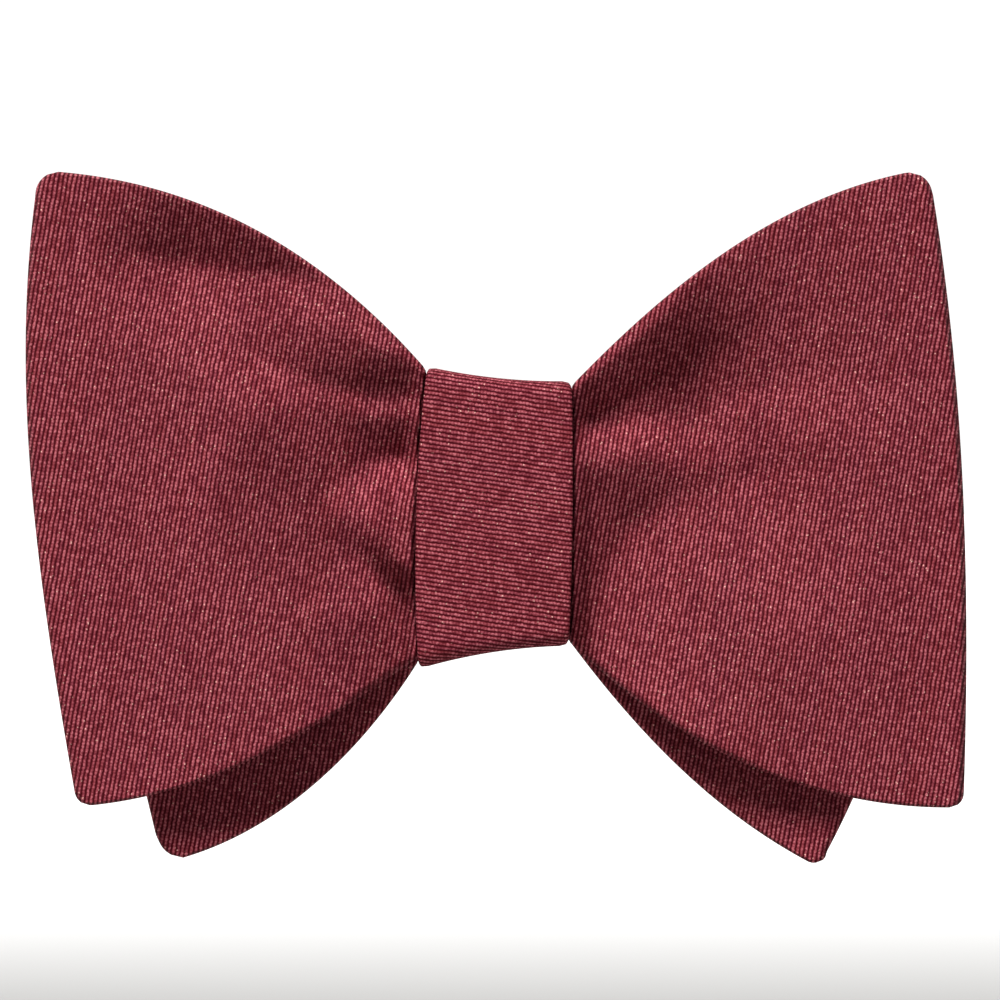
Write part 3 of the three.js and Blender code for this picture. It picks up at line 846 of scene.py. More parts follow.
@dataclass(frozen=True)
class Outline:
    """The flat outline of a wing, as distance from the middle of the knot and height."""

    upper: Handles
    lower: Handles
    outer: Handles
    upper_corner: float
    lower_corner: float

    def grid(self, columns: int, rows: int, neck: "Neck") -> tuple[np.ndarray, ...]:
        """Spreads a grid over the wing.

        Args:
            columns: Columns from the knot outward.
            rows: Rows from the lower edge up.
            neck: How the root is drawn into the knot.

        Returns:
            Distance, height, share outward (0 to 1) and share upward (-1 to 1) of each point.
        """
        # Columns lie closest together at the knot, and rows at the upper and lower edges.
        t = np.linspace(0, 1, columns)
        across = 0.35 * t**2 + 0.65 * t + 0.02 * np.sin(math.pi * t) * t
        across = np.sort(np.append(across[:-1], 1.0))
        r = np.linspace(-1, 1, rows)
        upward = 0.6 * r + 0.4 * np.sin(math.pi / 2 * r)
        share = (1 + upward) / 2
        outer = flowing_curve(self.outer)[::-1]
        top, bottom = self.upper[3][1], self.lower[3][1]
        level = lerp(bottom, top, share)
        reach = np.interp(level, outer[:, 1], outer[:, 0])
        reach = reach - self.draw(self.upper_corner, top - level)
        reach = reach - self.draw(self.lower_corner, level - bottom)
        x = lerp(neck.root, reach[None, :], across[:, None])
        low = neck.drawn(x, self.height(self.lower, x), -1)
        high = neck.drawn(x, self.height(self.upper, x), 1)
        z = lerp(low, high, share[None, :])
        return x, z, np.broadcast_to(across[:, None], x.shape), np.broadcast_to(upward, x.shape)

    @staticmethod
    def draw(radius: float, away: np.ndarray) -> np.ndarray:
        """How far a rounded corner draws the outer edge in, at a height away from it."""
        inside = np.clip(radius - away, 0, radius)
        return radius - np.sqrt(radius**2 - inside**2)

    @staticmethod
    def height(edge: Handles, x: np.ndarray) -> np.ndarray:
        """Height of an edge at a distance from the middle."""
        curve = flowing_curve(edge)
        return np.interp(x, curve[:, 0], curve[:, 1])


@dataclass(frozen=True)
class KnotEdge:
    """One upright edge of the knot, whose distance from the middle varies with height."""

    level: float
    slant: float
    bow: float

    def reach(self, z: np.ndarray | float) -> np.ndarray | float:
        """Distance from the middle at a height."""
        return self.level + self.slant * z + self.bow * z**2


KNOT_EDGES = {
    Hand.LEFT: KnotEdge(10.3, -0.030, -0.0024),
    Hand.RIGHT: KnotEdge(10.05, 0.010, -0.0008),
}


@dataclass(frozen=True)
class Neck:
    """How a wing's root is drawn into the end of the knot."""

    edge: KnotEdge
    upper_opening: float
    lower_opening: float
    root: float = 8.4
    play: float = -0.4
    length: float = 0.6
    inside: float = 0.35

    def drawn(self, x: np.ndarray, free: np.ndarray, end: int) -> np.ndarray:
        """Height of an edge once it is drawn into the knot.

        Args:
            x: Distances from the middle of the knot.
            free: Heights of the edge outside the knot.
            end: 1 for the upper edge and -1 for the lower one.

        Returns:
            Heights, closing to the knot's opening.
        """
        opening = self.upper_opening if end > 0 else self.lower_opening
        mouth = self.edge.reach(opening) + self.play
        t = np.clip((x - mouth) / self.length, 0, 1)
        rise = np.sqrt(1 - (1 - t) ** 2)
        return lerp(opening, free, rise)

    def free(self, x: np.ndarray, z: np.ndarray, width: float = 0.9) -> np.ndarray:
        """0 inside the knot and 1 clear of its edge, over a width."""
        return eased((x - self.edge.reach(z) + self.inside) / width)


@dataclass(frozen=True)
class Wing:
    """One wing: a face cloth and a back cloth sewn round an interlining, gathered at the knot.

    The wing swells forward by `swell` beside the knot, and its folds are shallower there.
    """

    layer: Layer
    hand: Hand
    outline: Outline
    neck: Neck
    middle: float
    lean: float
    folds: tuple[Fold, ...]
    columns: int = 96
    rows: int = 132
    thickness: float = 2.8
    cloth: float = 0.55
    seam: float = 1.1
    crown: float = 0.8
    swell: float = 4.2
    root_swell: float = 1.9
    swell_place: float = 16.0
    swell_width: float = 24.0
    fold_at_root: float = 0.35
    fold_reach: float = 3.0
    thinnest: float = 0.06
    canvas_half: float = 0.5
    bend_from: float = 9.4
    bend_to: float = 13.0

    @property
    def name(self) -> str:
        """The wing's name in the frame."""
        return f"{self.layer.value}_{self.hand.word}"

    def lie(self) -> tuple[np.ndarray, ...]:
        """Lays the wing's middle surface.

        Returns:
            Distance, height, middle depth and half thickness of each grid point.
        """
        x, z, across, upward = self.outline.grid(self.columns, self.rows, self.neck)
        free = self.neck.free(x, z)
        depth = self.middle + self.lean * across
        depth = depth - self.crown * np.sin(math.pi * across) * (1 - upward**2)
        away = np.clip(x - self.swell_place, 0, None) / self.swell_width
        depth = depth - lerp(self.root_swell, self.swell, free) * np.exp(-(away**2))
        sink = self.softened(sum((fold.sink(x, z) for fold in self.folds), np.zeros_like(x)))
        depth = depth + sink * lerp(self.fold_at_root, 1.0, self.neck.free(x, z, self.fold_reach))
        edge = self.edge_distance(x, z)
        rim = np.sqrt(1 - (1 - np.clip(edge / self.seam, 0, 1)) ** 2)
        half = self.thickness / 2 * np.maximum(rim, self.thinnest)
        return x, z, depth, half

    @staticmethod
    def softened(depth: np.ndarray, passes: int = 4) -> np.ndarray:
        """Depths with their sharp creases rounded by averaging with the neighbours."""
        for _ in range(passes):
            padded = np.pad(depth, 1, mode="edge")
            upright = (padded[1:-1, :-2] + 2 * depth + padded[1:-1, 2:]) / 4
            padded = np.pad(upright, 1, mode="edge")
            depth = (padded[:-2, 1:-1] + 2 * upright + padded[2:, 1:-1]) / 4
        return depth

    @staticmethod
    def edge_distance(x: np.ndarray, z: np.ndarray) -> np.ndarray:
        """Distance of each grid point from the sewn edges, measured along the grid."""
        step = np.hypot(np.diff(x, axis=1), np.diff(z, axis=1))
        run = np.concatenate([np.zeros((len(x), 1)), np.cumsum(step, axis=1)], axis=1)
        upright = np.minimum(run, run[:, -1:] - run)
        step = np.hypot(np.diff(x, axis=0), np.diff(z, axis=0))
        out = np.concatenate([np.zeros((1, x.shape[1])), np.cumsum(step, axis=0)], axis=0)
        return np.minimum(upright, out[-1:] - out)

    def stack(self, x: np.ndarray, y: np.ndarray, z: np.ndarray) -> np.ndarray:
        """Points on this wing's side of the knot."""
        return np.stack([self.hand.value * x, y, z], -1)

    def build(self, finishes: Finishes) -> list[bpy.types.Object]:
        """Makes and dresses the wing's three layers.

        Args:
            finishes: The materials.

        Returns:
            The face, the interlining and the back.
        """
        x, z, depth, half = self.lie()
        weave = np.stack([self.hand.value * x, z], -1)
        made = []
        for side in Side:
            skin = depth + side.value * half
            lining = depth + side.value * np.maximum(half - self.cloth, 0.03)
            name = f"{self.name}_{side.name.lower()}"
            cloth = slab(f"{name}_cloth", self.stack(x, skin, z), self.stack(x, lining, z), weave)
            self.fit(dress(cloth, finishes.wing), name, x, z)
            made.append(cloth)
        inner = (slice(2, -4, 2), slice(6, -6, 2))
        x, z, depth, weave = x[inner], z[inner], depth[inner], weave[inner]
        near, far = (self.stack(x, depth + y, z) for y in (-self.canvas_half, self.canvas_half))
        lining = dress(slab(f"{self.name}_canvas", near, far, weave), finishes.canvas)
        self.fit(lining, f"{self.name}_interlining", x, z)
        made.insert(1, lining)
        return made

    def fit(self, piece: bpy.types.Object, node: str, x: np.ndarray, z: np.ndarray) -> None:
        """Args:
            piece: The layer.
            node: The solid it stands for.
            x: Its distances from the middle of the knot.
            z: Its heights.
        """
        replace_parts(piece, node)
        side = self.hand.value
        start, end = ((side * x * MM, self.middle * MM, 0) for x in (self.bend_from, self.bend_to))
        f"{self.hand.word}_wing"
        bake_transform(piece)
        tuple(start)
        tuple(end)
        width, length, area = self.cut(x, z)

    @staticmethod
    def cut(x: np.ndarray, z: np.ndarray) -> tuple[float, float, float]:
        """Width, length and area of the flat cut that a grid covers."""
        rim_x, rim_z = rim_of(x), rim_of(z)
        area = abs(np.dot(rim_x, np.roll(rim_z, -1)) - np.dot(rim_z, np.roll(rim_x, -1))) / 2
        return float(np.ptp(x)), float(np.ptp(z)), float(area)


@dataclass(frozen=True)
class Bows:
    """The front bow and the back bow, with the folds that the knot gathers into them."""

    front_middle: float
    back_middle: float

    def wings(self) -> list[Wing]:
        """The four wings, front ones first."""
        left_neck = Neck(KNOT_EDGES[Hand.LEFT], upper_opening=16.8, lower_opening=-16.9)
        right_neck = Neck(KNOT_EDGES[Hand.RIGHT], upper_opening=14.9, lower_opening=-14.4)
        front_left = Outline(
            upper=((8.9, 18.8), (21.7, 33.6), (37.3, 43.1), (57.0, 44.7)),
            lower=((10.1, -18.6), (23.2, -27.7), (36.2, -36.1), (52.5, -37.8)),
            outer=((59.9, 41.6), (63.3, 15.5), (59.3, -10.3), (54.8, -36.0)),
            upper_corner=3.0,
            lower_corner=2.0,
        )
        front_right = Outline(
            upper=((9.6, 16.5), (21.7, 29.1), (36.0, 41.1), (53.6, 44.6)),
            lower=((9.9, -16.6), (22.5, -29.6), (40.9, -38.2), (59.1, -38.1)),
            outer=((56.9, 42.2), (61.2, 16.3), (61.9, -10.1), (61.0, -36.4)),
            upper_corner=3.0,
            lower_corner=1.9,
        )
        back_left = Outline(
            upper=((9.0, 16.5), (21.7, 30.0), (36.0, 38.8), (53.0, 40.5)),
            lower=((10.1, -19.2), (17.2, -30.5), (27.7, -41.0), (40.8, -44.8)),
            outer=((56.0, 38.0), (57.5, 12.0), (50.0, -18.0), (44.2, -42.5)),
            upper_corner=3.2,
            lower_corner=3.4,
        )
        back_right = Outline(
            upper=((9.6, 15.0), (21.7, 27.0), (34.0, 38.0), (50.0, 40.5)),
            lower=((9.9, -16.8), (18.5, -28.3), (28.3, -38.7), (41.1, -45.4)),
            outer=((54.5, 38.0), (61.0, 12.0), (57.0, -18.0), (43.2, -44.0)),
            upper_corner=3.2,
            lower_corner=1.4,
        )
        front = {"layer": Layer.FRONT, "middle": self.front_middle, "lean": -0.8}
        back = {"layer": Layer.BACK, "middle": self.back_middle, "swell": 0.0, "root_swell": 0.0}
        left = {"hand": Hand.LEFT, "neck": left_neck}
        right = {"hand": Hand.RIGHT, "neck": right_neck}
        return [
            Wing(outline=front_left, folds=self.front_left_folds(), **front, **left),
            Wing(outline=front_right, folds=self.front_right_folds(), **front, **right),
            Wing(outline=back_left, folds=self.back_folds(), lean=-2.4, **back, **left),
            Wing(outline=back_right, folds=self.back_folds(), lean=-4.6, **back, **right),
        ]

    @staticmethod
    def front_left_folds() -> tuple[Fold, ...]:
        """Folds of the front left wing, top to bottom."""
        roll = Fold(
            line=((8.5, 26.0), (17.0, 28.2), (24.5, 30.6), (37.0, 32.6), (52.0, 34.8)),
            depth=6.5,
            rise=(9.0, 7.0, 7.0, 9.0, 9.0),
            fall=(9.0, 12.0, 18.0, 15.0, 9.0),
            share=(0.3, 0.4, 0.8, 1.0, 0.1),
        )
        upper = Fold(
            line=((8.5, 15.9), (14.0, 15.9), (19.5, 16.4), (25.5, 18.2), (35.0, 23.0)),
            depth=6.0,
            rise=(4.0, 6.0, 8.0, 7.0, 9.0),
            fall=(12.0, 20.0, 13.0, 7.0, 6.0),
            share=(0.7, 1.0, 0.9, 0.8, 0.3),
        )
        tongue = Fold(
            line=(
                (8.5, 8.0), (14.0, 7.0), (19.0, 4.9), (21.9, 1.8),
                (20.0, -3.6), (15.5, -8.0), (8.5, -11.0),
            ),
            depth=9.0,
            rise=(5.0, 6.0, 12.0, 17.0, 19.0, 20.0, 20.0),
            fall=(16.0, 4.0, 18.0, 15.0, 8.0, 3.0, 3.0),
            share=(0.9, 0.7, 0.7, 0.7, 0.9, 0.9, 0.8),
        )
        hem = Fold(
            line=((8.5, -20.5), (14.0, -22.0), (20.0, -24.5), (27.0, -28.0)),
            depth=6.5,
            rise=(12.0, 10.0, 12.0, 14.0),
            fall=(3.0, 3.0, 3.0, 3.0),
            share=(1.0, 0.8, 0.5, 0.0),
        )
        return roll, upper, tongue, hem

    @staticmethod
    def front_right_folds() -> tuple[Fold, ...]:
        """Folds of the front right wing, top to bottom."""
        roll = Fold(
            line=((8.5, 12.6), (13.0, 13.2), (19.0, 16.4), (27.0, 20.3), (40.0, 27.0)),
            depth=6.0,
            rise=(4.0, 5.0, 7.0, 12.0, 14.0),
            fall=(6.0, 9.0, 23.0, 20.0, 14.0),
            share=(0.6, 0.7, 1.0, 0.4, 0.0),
        )
        middle = Fold(
            line=((8.5, 12.6), (18.0, 12.8), (27.0, 13.9), (37.0, 17.2), (54.0, 20.0)),
            depth=4.5,
            rise=(4.0, 5.0, 15.0, 20.0, 18.0),
            fall=(5.0, 4.0, 12.0, 10.0, 14.0),
            share=(0.2, 0.5, 1.0, 0.5, 0.0),
        )
        lower = Fold(
            line=(
                (12.2, -17.0), (13.4, -12.0), (15.4, -5.5), (18.8, -0.6),
                (27.0, 3.2), (37.0, 6.2), (49.0, 8.5),
            ),
            depth=7.5,
            rise=(10.0, 10.0, 13.0, 13.0, 8.0, 8.0, 10.0),
            fall=(24.0, 22.0, 20.0, 22.0, 24.0, 24.0, 20.0),
            share=(0.8, 0.9, 0.9, 0.6, 0.9, 0.3, 0.0),
        )
        return roll, middle, lower

    @staticmethod
    def back_folds() -> tuple[Fold, ...]:
        """Shallow folds of a back wing, above and below the neckband."""
        above = Fold(
            line=((8.5, 12.5), (20.0, 17.0), (32.0, 21.0), (44.0, 24.0)),
            depth=1.2,
            rise=(4.0, 6.0, 9.0, 9.0),
            fall=(3.0, 5.0, 7.0, 8.0),
            share=(1.0, 1.0, 0.6, 0.0),
        )
        below = Fold(
            line=((8.5, -12.5), (18.0, -17.0), (28.0, -24.0), (36.0, -31.0)),
            depth=1.2,
            rise=(4.0, 5.0, 7.0, 8.0),
            fall=(3.0, 5.0, 7.0, 8.0),
            share=(1.0, 1.0, 0.6, 0.0),
        )
        return above, below

    def build(self, finishes: Finishes) -> list[bpy.types.Object]:
        """Makes all four wings and reports each of them."""
        made = []
        for wing in self.wings():
            pieces = wing.build(finishes)
            LOG.info("%s wing: %s", wing.name, ", ".join(p.name for p in pieces))
            made += pieces
        return made


# ---------------------------------------------------------------- knot


@dataclass(frozen=True)
class Knot:
    """The wrapped middle: a folded strip round the gathered waists of both bows."""

    front: float
    back: float
    wrap: float = 1.0
    lining: float = 0.8
    gap: float = 0.3
    front_radius: float = 2.0
    back_radius: float = 2.0
    lining_trim: float = 1.6
    crown: float = 0.4
    corner: float = 1.1
    half_height: float = 18.2
    stations: int = 150
    waist_half: float = 8.0
    waist_gap: float = 2.9
    pleat: float = 0.32
    pleat_turn: float = 2.1
    overlap_reach: float = 7.6
    overlap_stitches: int = 9
    stitch_half: Point = (0.45, 0.75)
    stitch_lift: float = 0.12
    stitch_radius: float = 0.16

    @staticmethod
    def top(x: np.ndarray | float) -> np.ndarray | float:
        """Height of the upper fold, which dips to the right."""
        return 17.85 - 0.108 * x + 0.0065 * x**2

    @staticmethod
    def bottom(x: np.ndarray | float) -> np.ndarray | float:
        """Height of the lower fold, which rises to the right."""
        return -17.8 + 0.150 * x - 0.0072 * x**2

    def loop(self, inset: float) -> tuple[np.ndarray, np.ndarray, np.ndarray]:
        """The path round the waist, with its height as a share of the half height.

        Args:
            inset: How far inside the outer skin the path runs.

        Returns:
            Depths, heights as shares of the half height, and the run in millimetres.
        """
        half = self.half_height
        low, high = self.front + inset, self.back - inset
        front = max(self.front_radius - inset, 0.4)
        back = max(self.back_radius - inset, 0.4)
        points = np.array(rounded_loop(low, -half + inset, high, half - inset, front, back))
        in_front = points[:, 0] < 0.5 * (low + high)
        start = int(np.argmin(np.abs(points[:, 1]) + 100 * in_front))
        points = np.vstack([np.roll(points, -start, axis=0), points[start]])
        run = run_along(points)
        even = np.linspace(0, run[-1], self.stations, endpoint=False)
        return np.interp(even, run, points[:, 0]), np.interp(even, run, points[:, 1]) / half, even

    def ring(self, inset: float, thickness: float, trim: float) -> tuple[np.ndarray, np.ndarray]:
        """Rings of a strip round the waist.

        Args:
            inset: How far its outer face lies inside the knot's skin.
            thickness: The strip's thickness.
            trim: How much narrower than the wrap it is, at each end.

        Returns:
            Points of the strip and their places on the flat strip.
        """
        # Only the section's proportions are used: how far in and how far across each point is.
        section = strap_profile(2.0, thickness / 10.0, steps=4, rows=23)
        inward = 0.5 * thickness * (1 - section[:, 0] / np.abs(section[:, 0]).max())
        across = section[:, 1] / np.abs(section[:, 1]).max()
        rings = np.zeros((self.stations, len(section), 3))
        for k, extra in enumerate(inward):
            y, share, _ = self.loop(inset + extra)
            level = np.where(share > 0, self.top(0.0) * share, -self.bottom(0.0) * share)
            left, right = -KNOT_EDGES[Hand.LEFT].reach(level), KNOT_EDGES[Hand.RIGHT].reach(level)
            half = (right - left) / 2 - trim
            x = (left + right) / 2 + half * across[k]
            inside = np.clip(half * (1 - abs(across[k])), 0, self.corner)
            drawn = self.corner - np.sqrt(self.corner**2 - (self.corner - inside) ** 2)
            top, bottom = self.top(x) - drawn, self.bottom(x) + drawn
            z = np.where(share > 0, top * share, -bottom * share)
            # The front alone is crowned, less towards the upper and lower folds.
            bow = self.crown * (1 - across[k] ** 2) * (y < lerp(self.front, self.back, 0.5))
            rings[:, k] = np.stack([x, y - bow * eased(1.2 - np.abs(share) * 1.1), z], -1)
        y, share, run = self.loop(inset)
        # The flat strip is measured along its run, but follows the slant of the folds.
        turned = lerp(1, -1, (y - self.front) / (self.back - self.front))
        facing = np.sin(math.pi / 2 * np.clip(turned, -1, 1))
        shift = (rings[..., 2] - share[:, None] * self.half_height) * facing[:, None]
        weave = np.stack([rings[..., 0], shift - run[:, None]], -1)
        return rings, weave

    def gathered(self, name: str, front: float, back: float, phase: float) -> bpy.types.Object:
        """Makes the waist of one bow: cloth crushed into pleats that run across the knot.

        Args:
            name: The piece's name.
            front: Depth of its front.
            back: Depth of its back.
            phase: Where its pleats begin.

        Returns:
            The waist.
        """
        x = np.linspace(-self.waist_half, self.waist_half, 33)
        z = np.linspace(-1, 1, 90)
        top = self.top(x)[:, None] - self.waist_gap
        bottom = self.bottom(x)[:, None] + self.waist_gap
        height = lerp(bottom, top, (1 + z[None, :]) / 2)
        pleat = self.pleat * np.sin(height * self.pleat_turn + phase + 0.15 * x[:, None])
        round_off = 1 - np.abs(z[None, :]) ** 8
        middle, half = (front + back) / 2, (back - front) / 2 - 0.4
        wide = np.broadcast_to(x[:, None], height.shape)
        near = np.stack([wide, middle - half * round_off + pleat * round_off, height], -1)
        far = np.stack([wide, middle + half * round_off + pleat * round_off + 0.02, height], -1)
        return slab(f"{name}_gathers", near, far, np.stack([wide, height], -1))

    def stitches(self) -> bpy.types.Object:
        """Hand stitches that close the wrap's overlap at the back."""
        x = np.linspace(-self.overlap_reach, self.overlap_reach, self.overlap_stitches)
        middles = [np.array([place, self.back + self.stitch_lift, 0.0]) for place in x]
        half = np.array([self.stitch_half[0], 0.0, self.stitch_half[1]])
        return stitched("knot_stitches", middles, half, self.stitch_radius, sides=10)

    def build(self, finishes: Finishes) -> None:
        """Makes, dresses and places the knot's pieces.

        Args:
            finishes: The materials.
        """
        rings, weave = self.ring(0.0, self.wrap, 0.0)
        wrap = dress(swept("knot_strip", rings, weave, closed=True), finishes.knot)
        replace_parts(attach(wrap, "bow"), "knot_wrap")
        rings, weave = self.ring(self.wrap + self.gap, self.lining, self.lining_trim)
        lining = dress(swept("knot_canvas", rings, weave, closed=True), finishes.canvas)
        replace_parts(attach(lining, "bow"), "knot_interlining")
        for name, phase in (("front_bow_waist", 0.0), ("back_bow_waist", 1.4)):
            low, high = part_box(name)
            waist = self.gathered(name, low.y / MM, high.y / MM, phase)
            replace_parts(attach(dress(waist, finishes.wing), "bow"), name)
        stitches = dress(self.stitches(), finishes.thread)
        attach(stitches, "bow")
        LOG.info("knot: wrap, interlining, two gathered waists, %s", stitches.name)


# ---------------------------------------------------------------- neckband


@dataclass(frozen=True)
class BandRun:
    """The line that the neckband follows round the neck, and the band's section.

    A place is a number: -1 to 0 round the front arc, 0 to 1 along the straight side, and 1 to
    2 round the rear arc.
    """

    middle: float
    half_width: float
    arc_depth: float = 40.0
    side: float = 52.0
    height: float = 19.0
    thickness: float = 1.8

    @property
    def quarter(self) -> float:
        """About the length of an arc, by which a length becomes a step of places on it."""
        return self.half_width * math.pi / 2

    def frame(self, hand: Hand, place: np.ndarray) -> tuple[np.ndarray, np.ndarray, np.ndarray]:
        """Points, outward normals and forward directions at some places.

        Args:
            hand: Which half of the band.
            place: The places.

        Returns:
            Three arrays of (x, y).
        """
        place = np.atleast_1d(np.asarray(place, float))
        angle = np.where(place < 0, place, np.maximum(place - 1, 0)) * (math.pi / 2)
        centre = self.middle + self.arc_depth + self.side * np.clip(place, 0, 1)
        point = np.stack([self.half_width * np.cos(angle), centre + self.arc_depth * np.sin(angle)], -1)
        normal = np.stack([np.cos(angle) / self.half_width, np.sin(angle) / self.arc_depth], -1)
        normal /= np.linalg.norm(normal, axis=1)[:, None]
        forward = np.stack([-normal[:, 1], normal[:, 0]], -1)
        turn = np.array([hand.value, 1])
        return point * turn, normal * turn, forward * turn

    def spot(self, hand: Hand, place: float) -> tuple[np.ndarray, ...]:
        """Point, outward normal and forward direction at one place."""
        return tuple(value[0] for value in self.frame(hand, place))

    def on_arc(self, x: float, rear: bool) -> float:
        """The place on an arc at a distance from the middle."""
        turn = math.acos(x / self.half_width) / (math.pi / 2)
        return 1 + turn if rear else -turn

    def line(
        self, hand: Hand, start: float, end: float, offset: float, count: int
    ) -> tuple[np.ndarray, np.ndarray]:
        """A stretch of the band moved outward.

        Args:
            hand: Which half of the band.
            start: Its first place.
            end: Its last place.
            offset: How far outward it lies.
            count: How many points to return.

        Returns:
            Points and outward normals.
        """
        point, normal, _ = self.frame(hand, np.linspace(start, end, count))
        return point + normal * offset, normal


@dataclass(frozen=True)
class Clasp:
    """Sizes that the hook, the eye, the slider and the folds round their bars share."""

    bar: float = 0.5
    clearance: float = 0.3
    fold: float = 1.0
    plate: float = 1.0
    arm: float = 1.2
    place_x: float = 9.55
    strap_offset: float = -0.9
    slider_offset: float = -3.5
    slider_from: float = 23.0

    def place(self, run: BandRun) -> float:
        """The place of the hook's and the eye's bars."""
        return run.on_arc(self.place_x, True)

    def slider_place(self, run: BandRun) -> float:
        """The place of the slider's middle bar."""
        return self.slider_from / run.side

    @property
    def bore(self) -> float:
        """Inner radius of the cloth round a bar."""
        return self.bar + self.clearance

    @property
    def fold_middle(self) -> float:
        """Radius of the cloth's middle round a bar."""
        return self.bore + self.fold / 2

    @property
    def slot(self) -> float:
        """From the bar's middle to the next cross piece."""
        return self.bore + self.fold + self.clearance


@dataclass(frozen=True)
class Neckband:
    """The two halves of the band, with the folds round the clasp's bars and the slider's."""

    run: BandRun
    clasp: Clasp
    root: float = 9.9
    bend_to: float = 15.0
    bend_back: float = 1.6
    centre_half: float = 9.7
    clasp_reach: float = 1.3
    ripple: float = 0.12
    return_to: float = 41.5
    eye_tail: float = 12.0
    eye_tack: float = 2.8
    slider_head: float = 10.0
    slider_tail: float = 6.0
    slider_tack: float = 1.4
    tack_reach: float = 6.9
    tack_half: float = 0.62
    tack_stitches: int = 34
    tack_depth: float = 0.12
    tack_thread: float = 0.19

    @property
    def return_place(self) -> float:
        """The place where the hook's return ends."""
        return self.return_to / self.run.side

    def half(self, hand: Hand, finishes: Finishes) -> bpy.types.Object:
        """Makes one half of the band, from the knot to the clasp.

        Args:
            hand: Which half.
            finishes: The materials.

        Returns:
            The sleeve.
        """
        run, side = self.run, hand.value
        start = run.on_arc(self.root, False)
        end = run.on_arc(self.clasp.place_x + self.clasp_reach, True)
        line, normals = run.line(hand, start, end, 0.0, 260)
        profile = strap_profile(run.height, run.thickness, rows=16)
        name = f"band_{hand.word}"
        sleeve = strap(f"{name}_sleeve", line, normals, profile, self.ripple)
        dress(sleeve, finishes.band)
        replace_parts(sleeve, name, f"{name}_interlining")
        f"{hand.word}_band"
        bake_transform(sleeve)
        length_of(line) * MM
        return sleeve

    def folded_end(
        self, hand: Hand, bar: float, offset: float, wrap: int, outer_to: float, inner_to: float
    ) -> tuple[np.ndarray, np.ndarray]:
        """The line of a strap end folded round a bar.

        Args:
            hand: Which half of the band.
            bar: The bar's place.
            offset: The bar's distance outward from the band's middle.
            wrap: 1 where the fold closes towards the clasp, -1 towards the knot.
            outer_to: Where the outer layer starts.
            inner_to: Where the inner layer ends.

        Returns:
            Points of the cloth's middle and the directions away from the bar's side.
        """
        radius = self.clasp.fold_middle
        outer, outer_normal = self.run.line(hand, outer_to, bar, offset + radius, 40)
        inner, inner_normal = self.run.line(hand, bar, inner_to, offset - radius, 120)
        point, normal, forward = self.run.spot(hand, bar)
        centre = point + normal * offset
        angle = np.linspace(0, math.pi, 15)[1:-1, None]
        away = normal * np.cos(angle) + forward * wrap * np.sin(angle)
        line = np.concatenate([outer, centre + radius * away, inner])
        return line, np.concatenate([outer_normal, away, -inner_normal])

    def folds(self, finishes: Finishes) -> list[bpy.types.Object]:
        """Makes the cloth round the eye's, the hook's and the slider's bars.

        Args:
            finishes: The materials.

        Returns:
            The folds, dressed and placed.
        """
        run, clasp, bar = self.run, self.clasp, self.clasp.place(self.run)
        place, tail = clasp.slider_place(run), bar - self.eye_tail / run.quarter
        start = run.on_arc(clasp.place_x + 2 * clasp.bar, True)
        outer_to, inner_to = (place + v / run.side for v in (self.slider_head, self.slider_tail))
        eye = (Hand.LEFT, bar, clasp.strap_offset, 1, start, tail)
        hook = (Hand.RIGHT, bar, clasp.strap_offset, 1, start, self.return_place)
        slider = (Hand.RIGHT, place, clasp.slider_offset, -1, outer_to, inner_to)
        rows = (
            ("eye_fold_cloth", eye, "left_band", "eye_fold"),
            ("hook_return_cloth", hook, "right_band", "hook_return"),
            ("slider_fold_cloth", slider, "slider", "slider_fold"),
        )
        profile = strap_profile(run.height, clasp.fold, rows=12)
        made = []
        for name, end, body, node in rows:
            piece = dress(strap(name, *self.folded_end(*end), profile), finishes.band)
            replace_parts(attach(piece, body), node)
            made.append(piece)
        made.append(self.take_up(finishes))
        return made

    def take_up(self, finishes: Finishes) -> bpy.types.Object:
        """Makes the inner layer between the slider's fold and the return, which takes up slack."""
        run, clasp = self.run, self.clasp
        start = clasp.slider_place(run) + (self.slider_head - 1.0) / run.side
        end = self.return_place + 0.8 / run.side
        offset = clasp.strap_offset - clasp.fold_middle
        line, normals = run.line(Hand.RIGHT, start, end, offset, 40)
        profile = strap_profile(run.height - 0.2, clasp.fold - 0.12, rows=12)
        piece = dress(strap("return_slack", line, normals, profile), finishes.band)
        near, far = (*line[3] * MM, 0), (*line[-4] * MM, 0)
        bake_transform(piece)
        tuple(near)
        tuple(far)
        length_of(line) * MM
        return piece

    def centre(self, finishes: Finishes) -> bpy.types.Object:
        """Makes the stretch of band that passes through the knot."""
        run, count = self.run, 40
        x = np.linspace(-self.centre_half, self.centre_half, count)
        line = np.stack([x, np.full(count, run.middle)], -1)
        normals = np.tile([0.0, -1.0], (count, 1))
        profile = strap_profile(run.height - 0.1, run.thickness - 0.1, rows=16)
        piece = dress(strap("band_centre_sleeve", line, normals, profile), finishes.band)
        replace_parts(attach(piece, "bow"), "neckband_centre")
        return piece

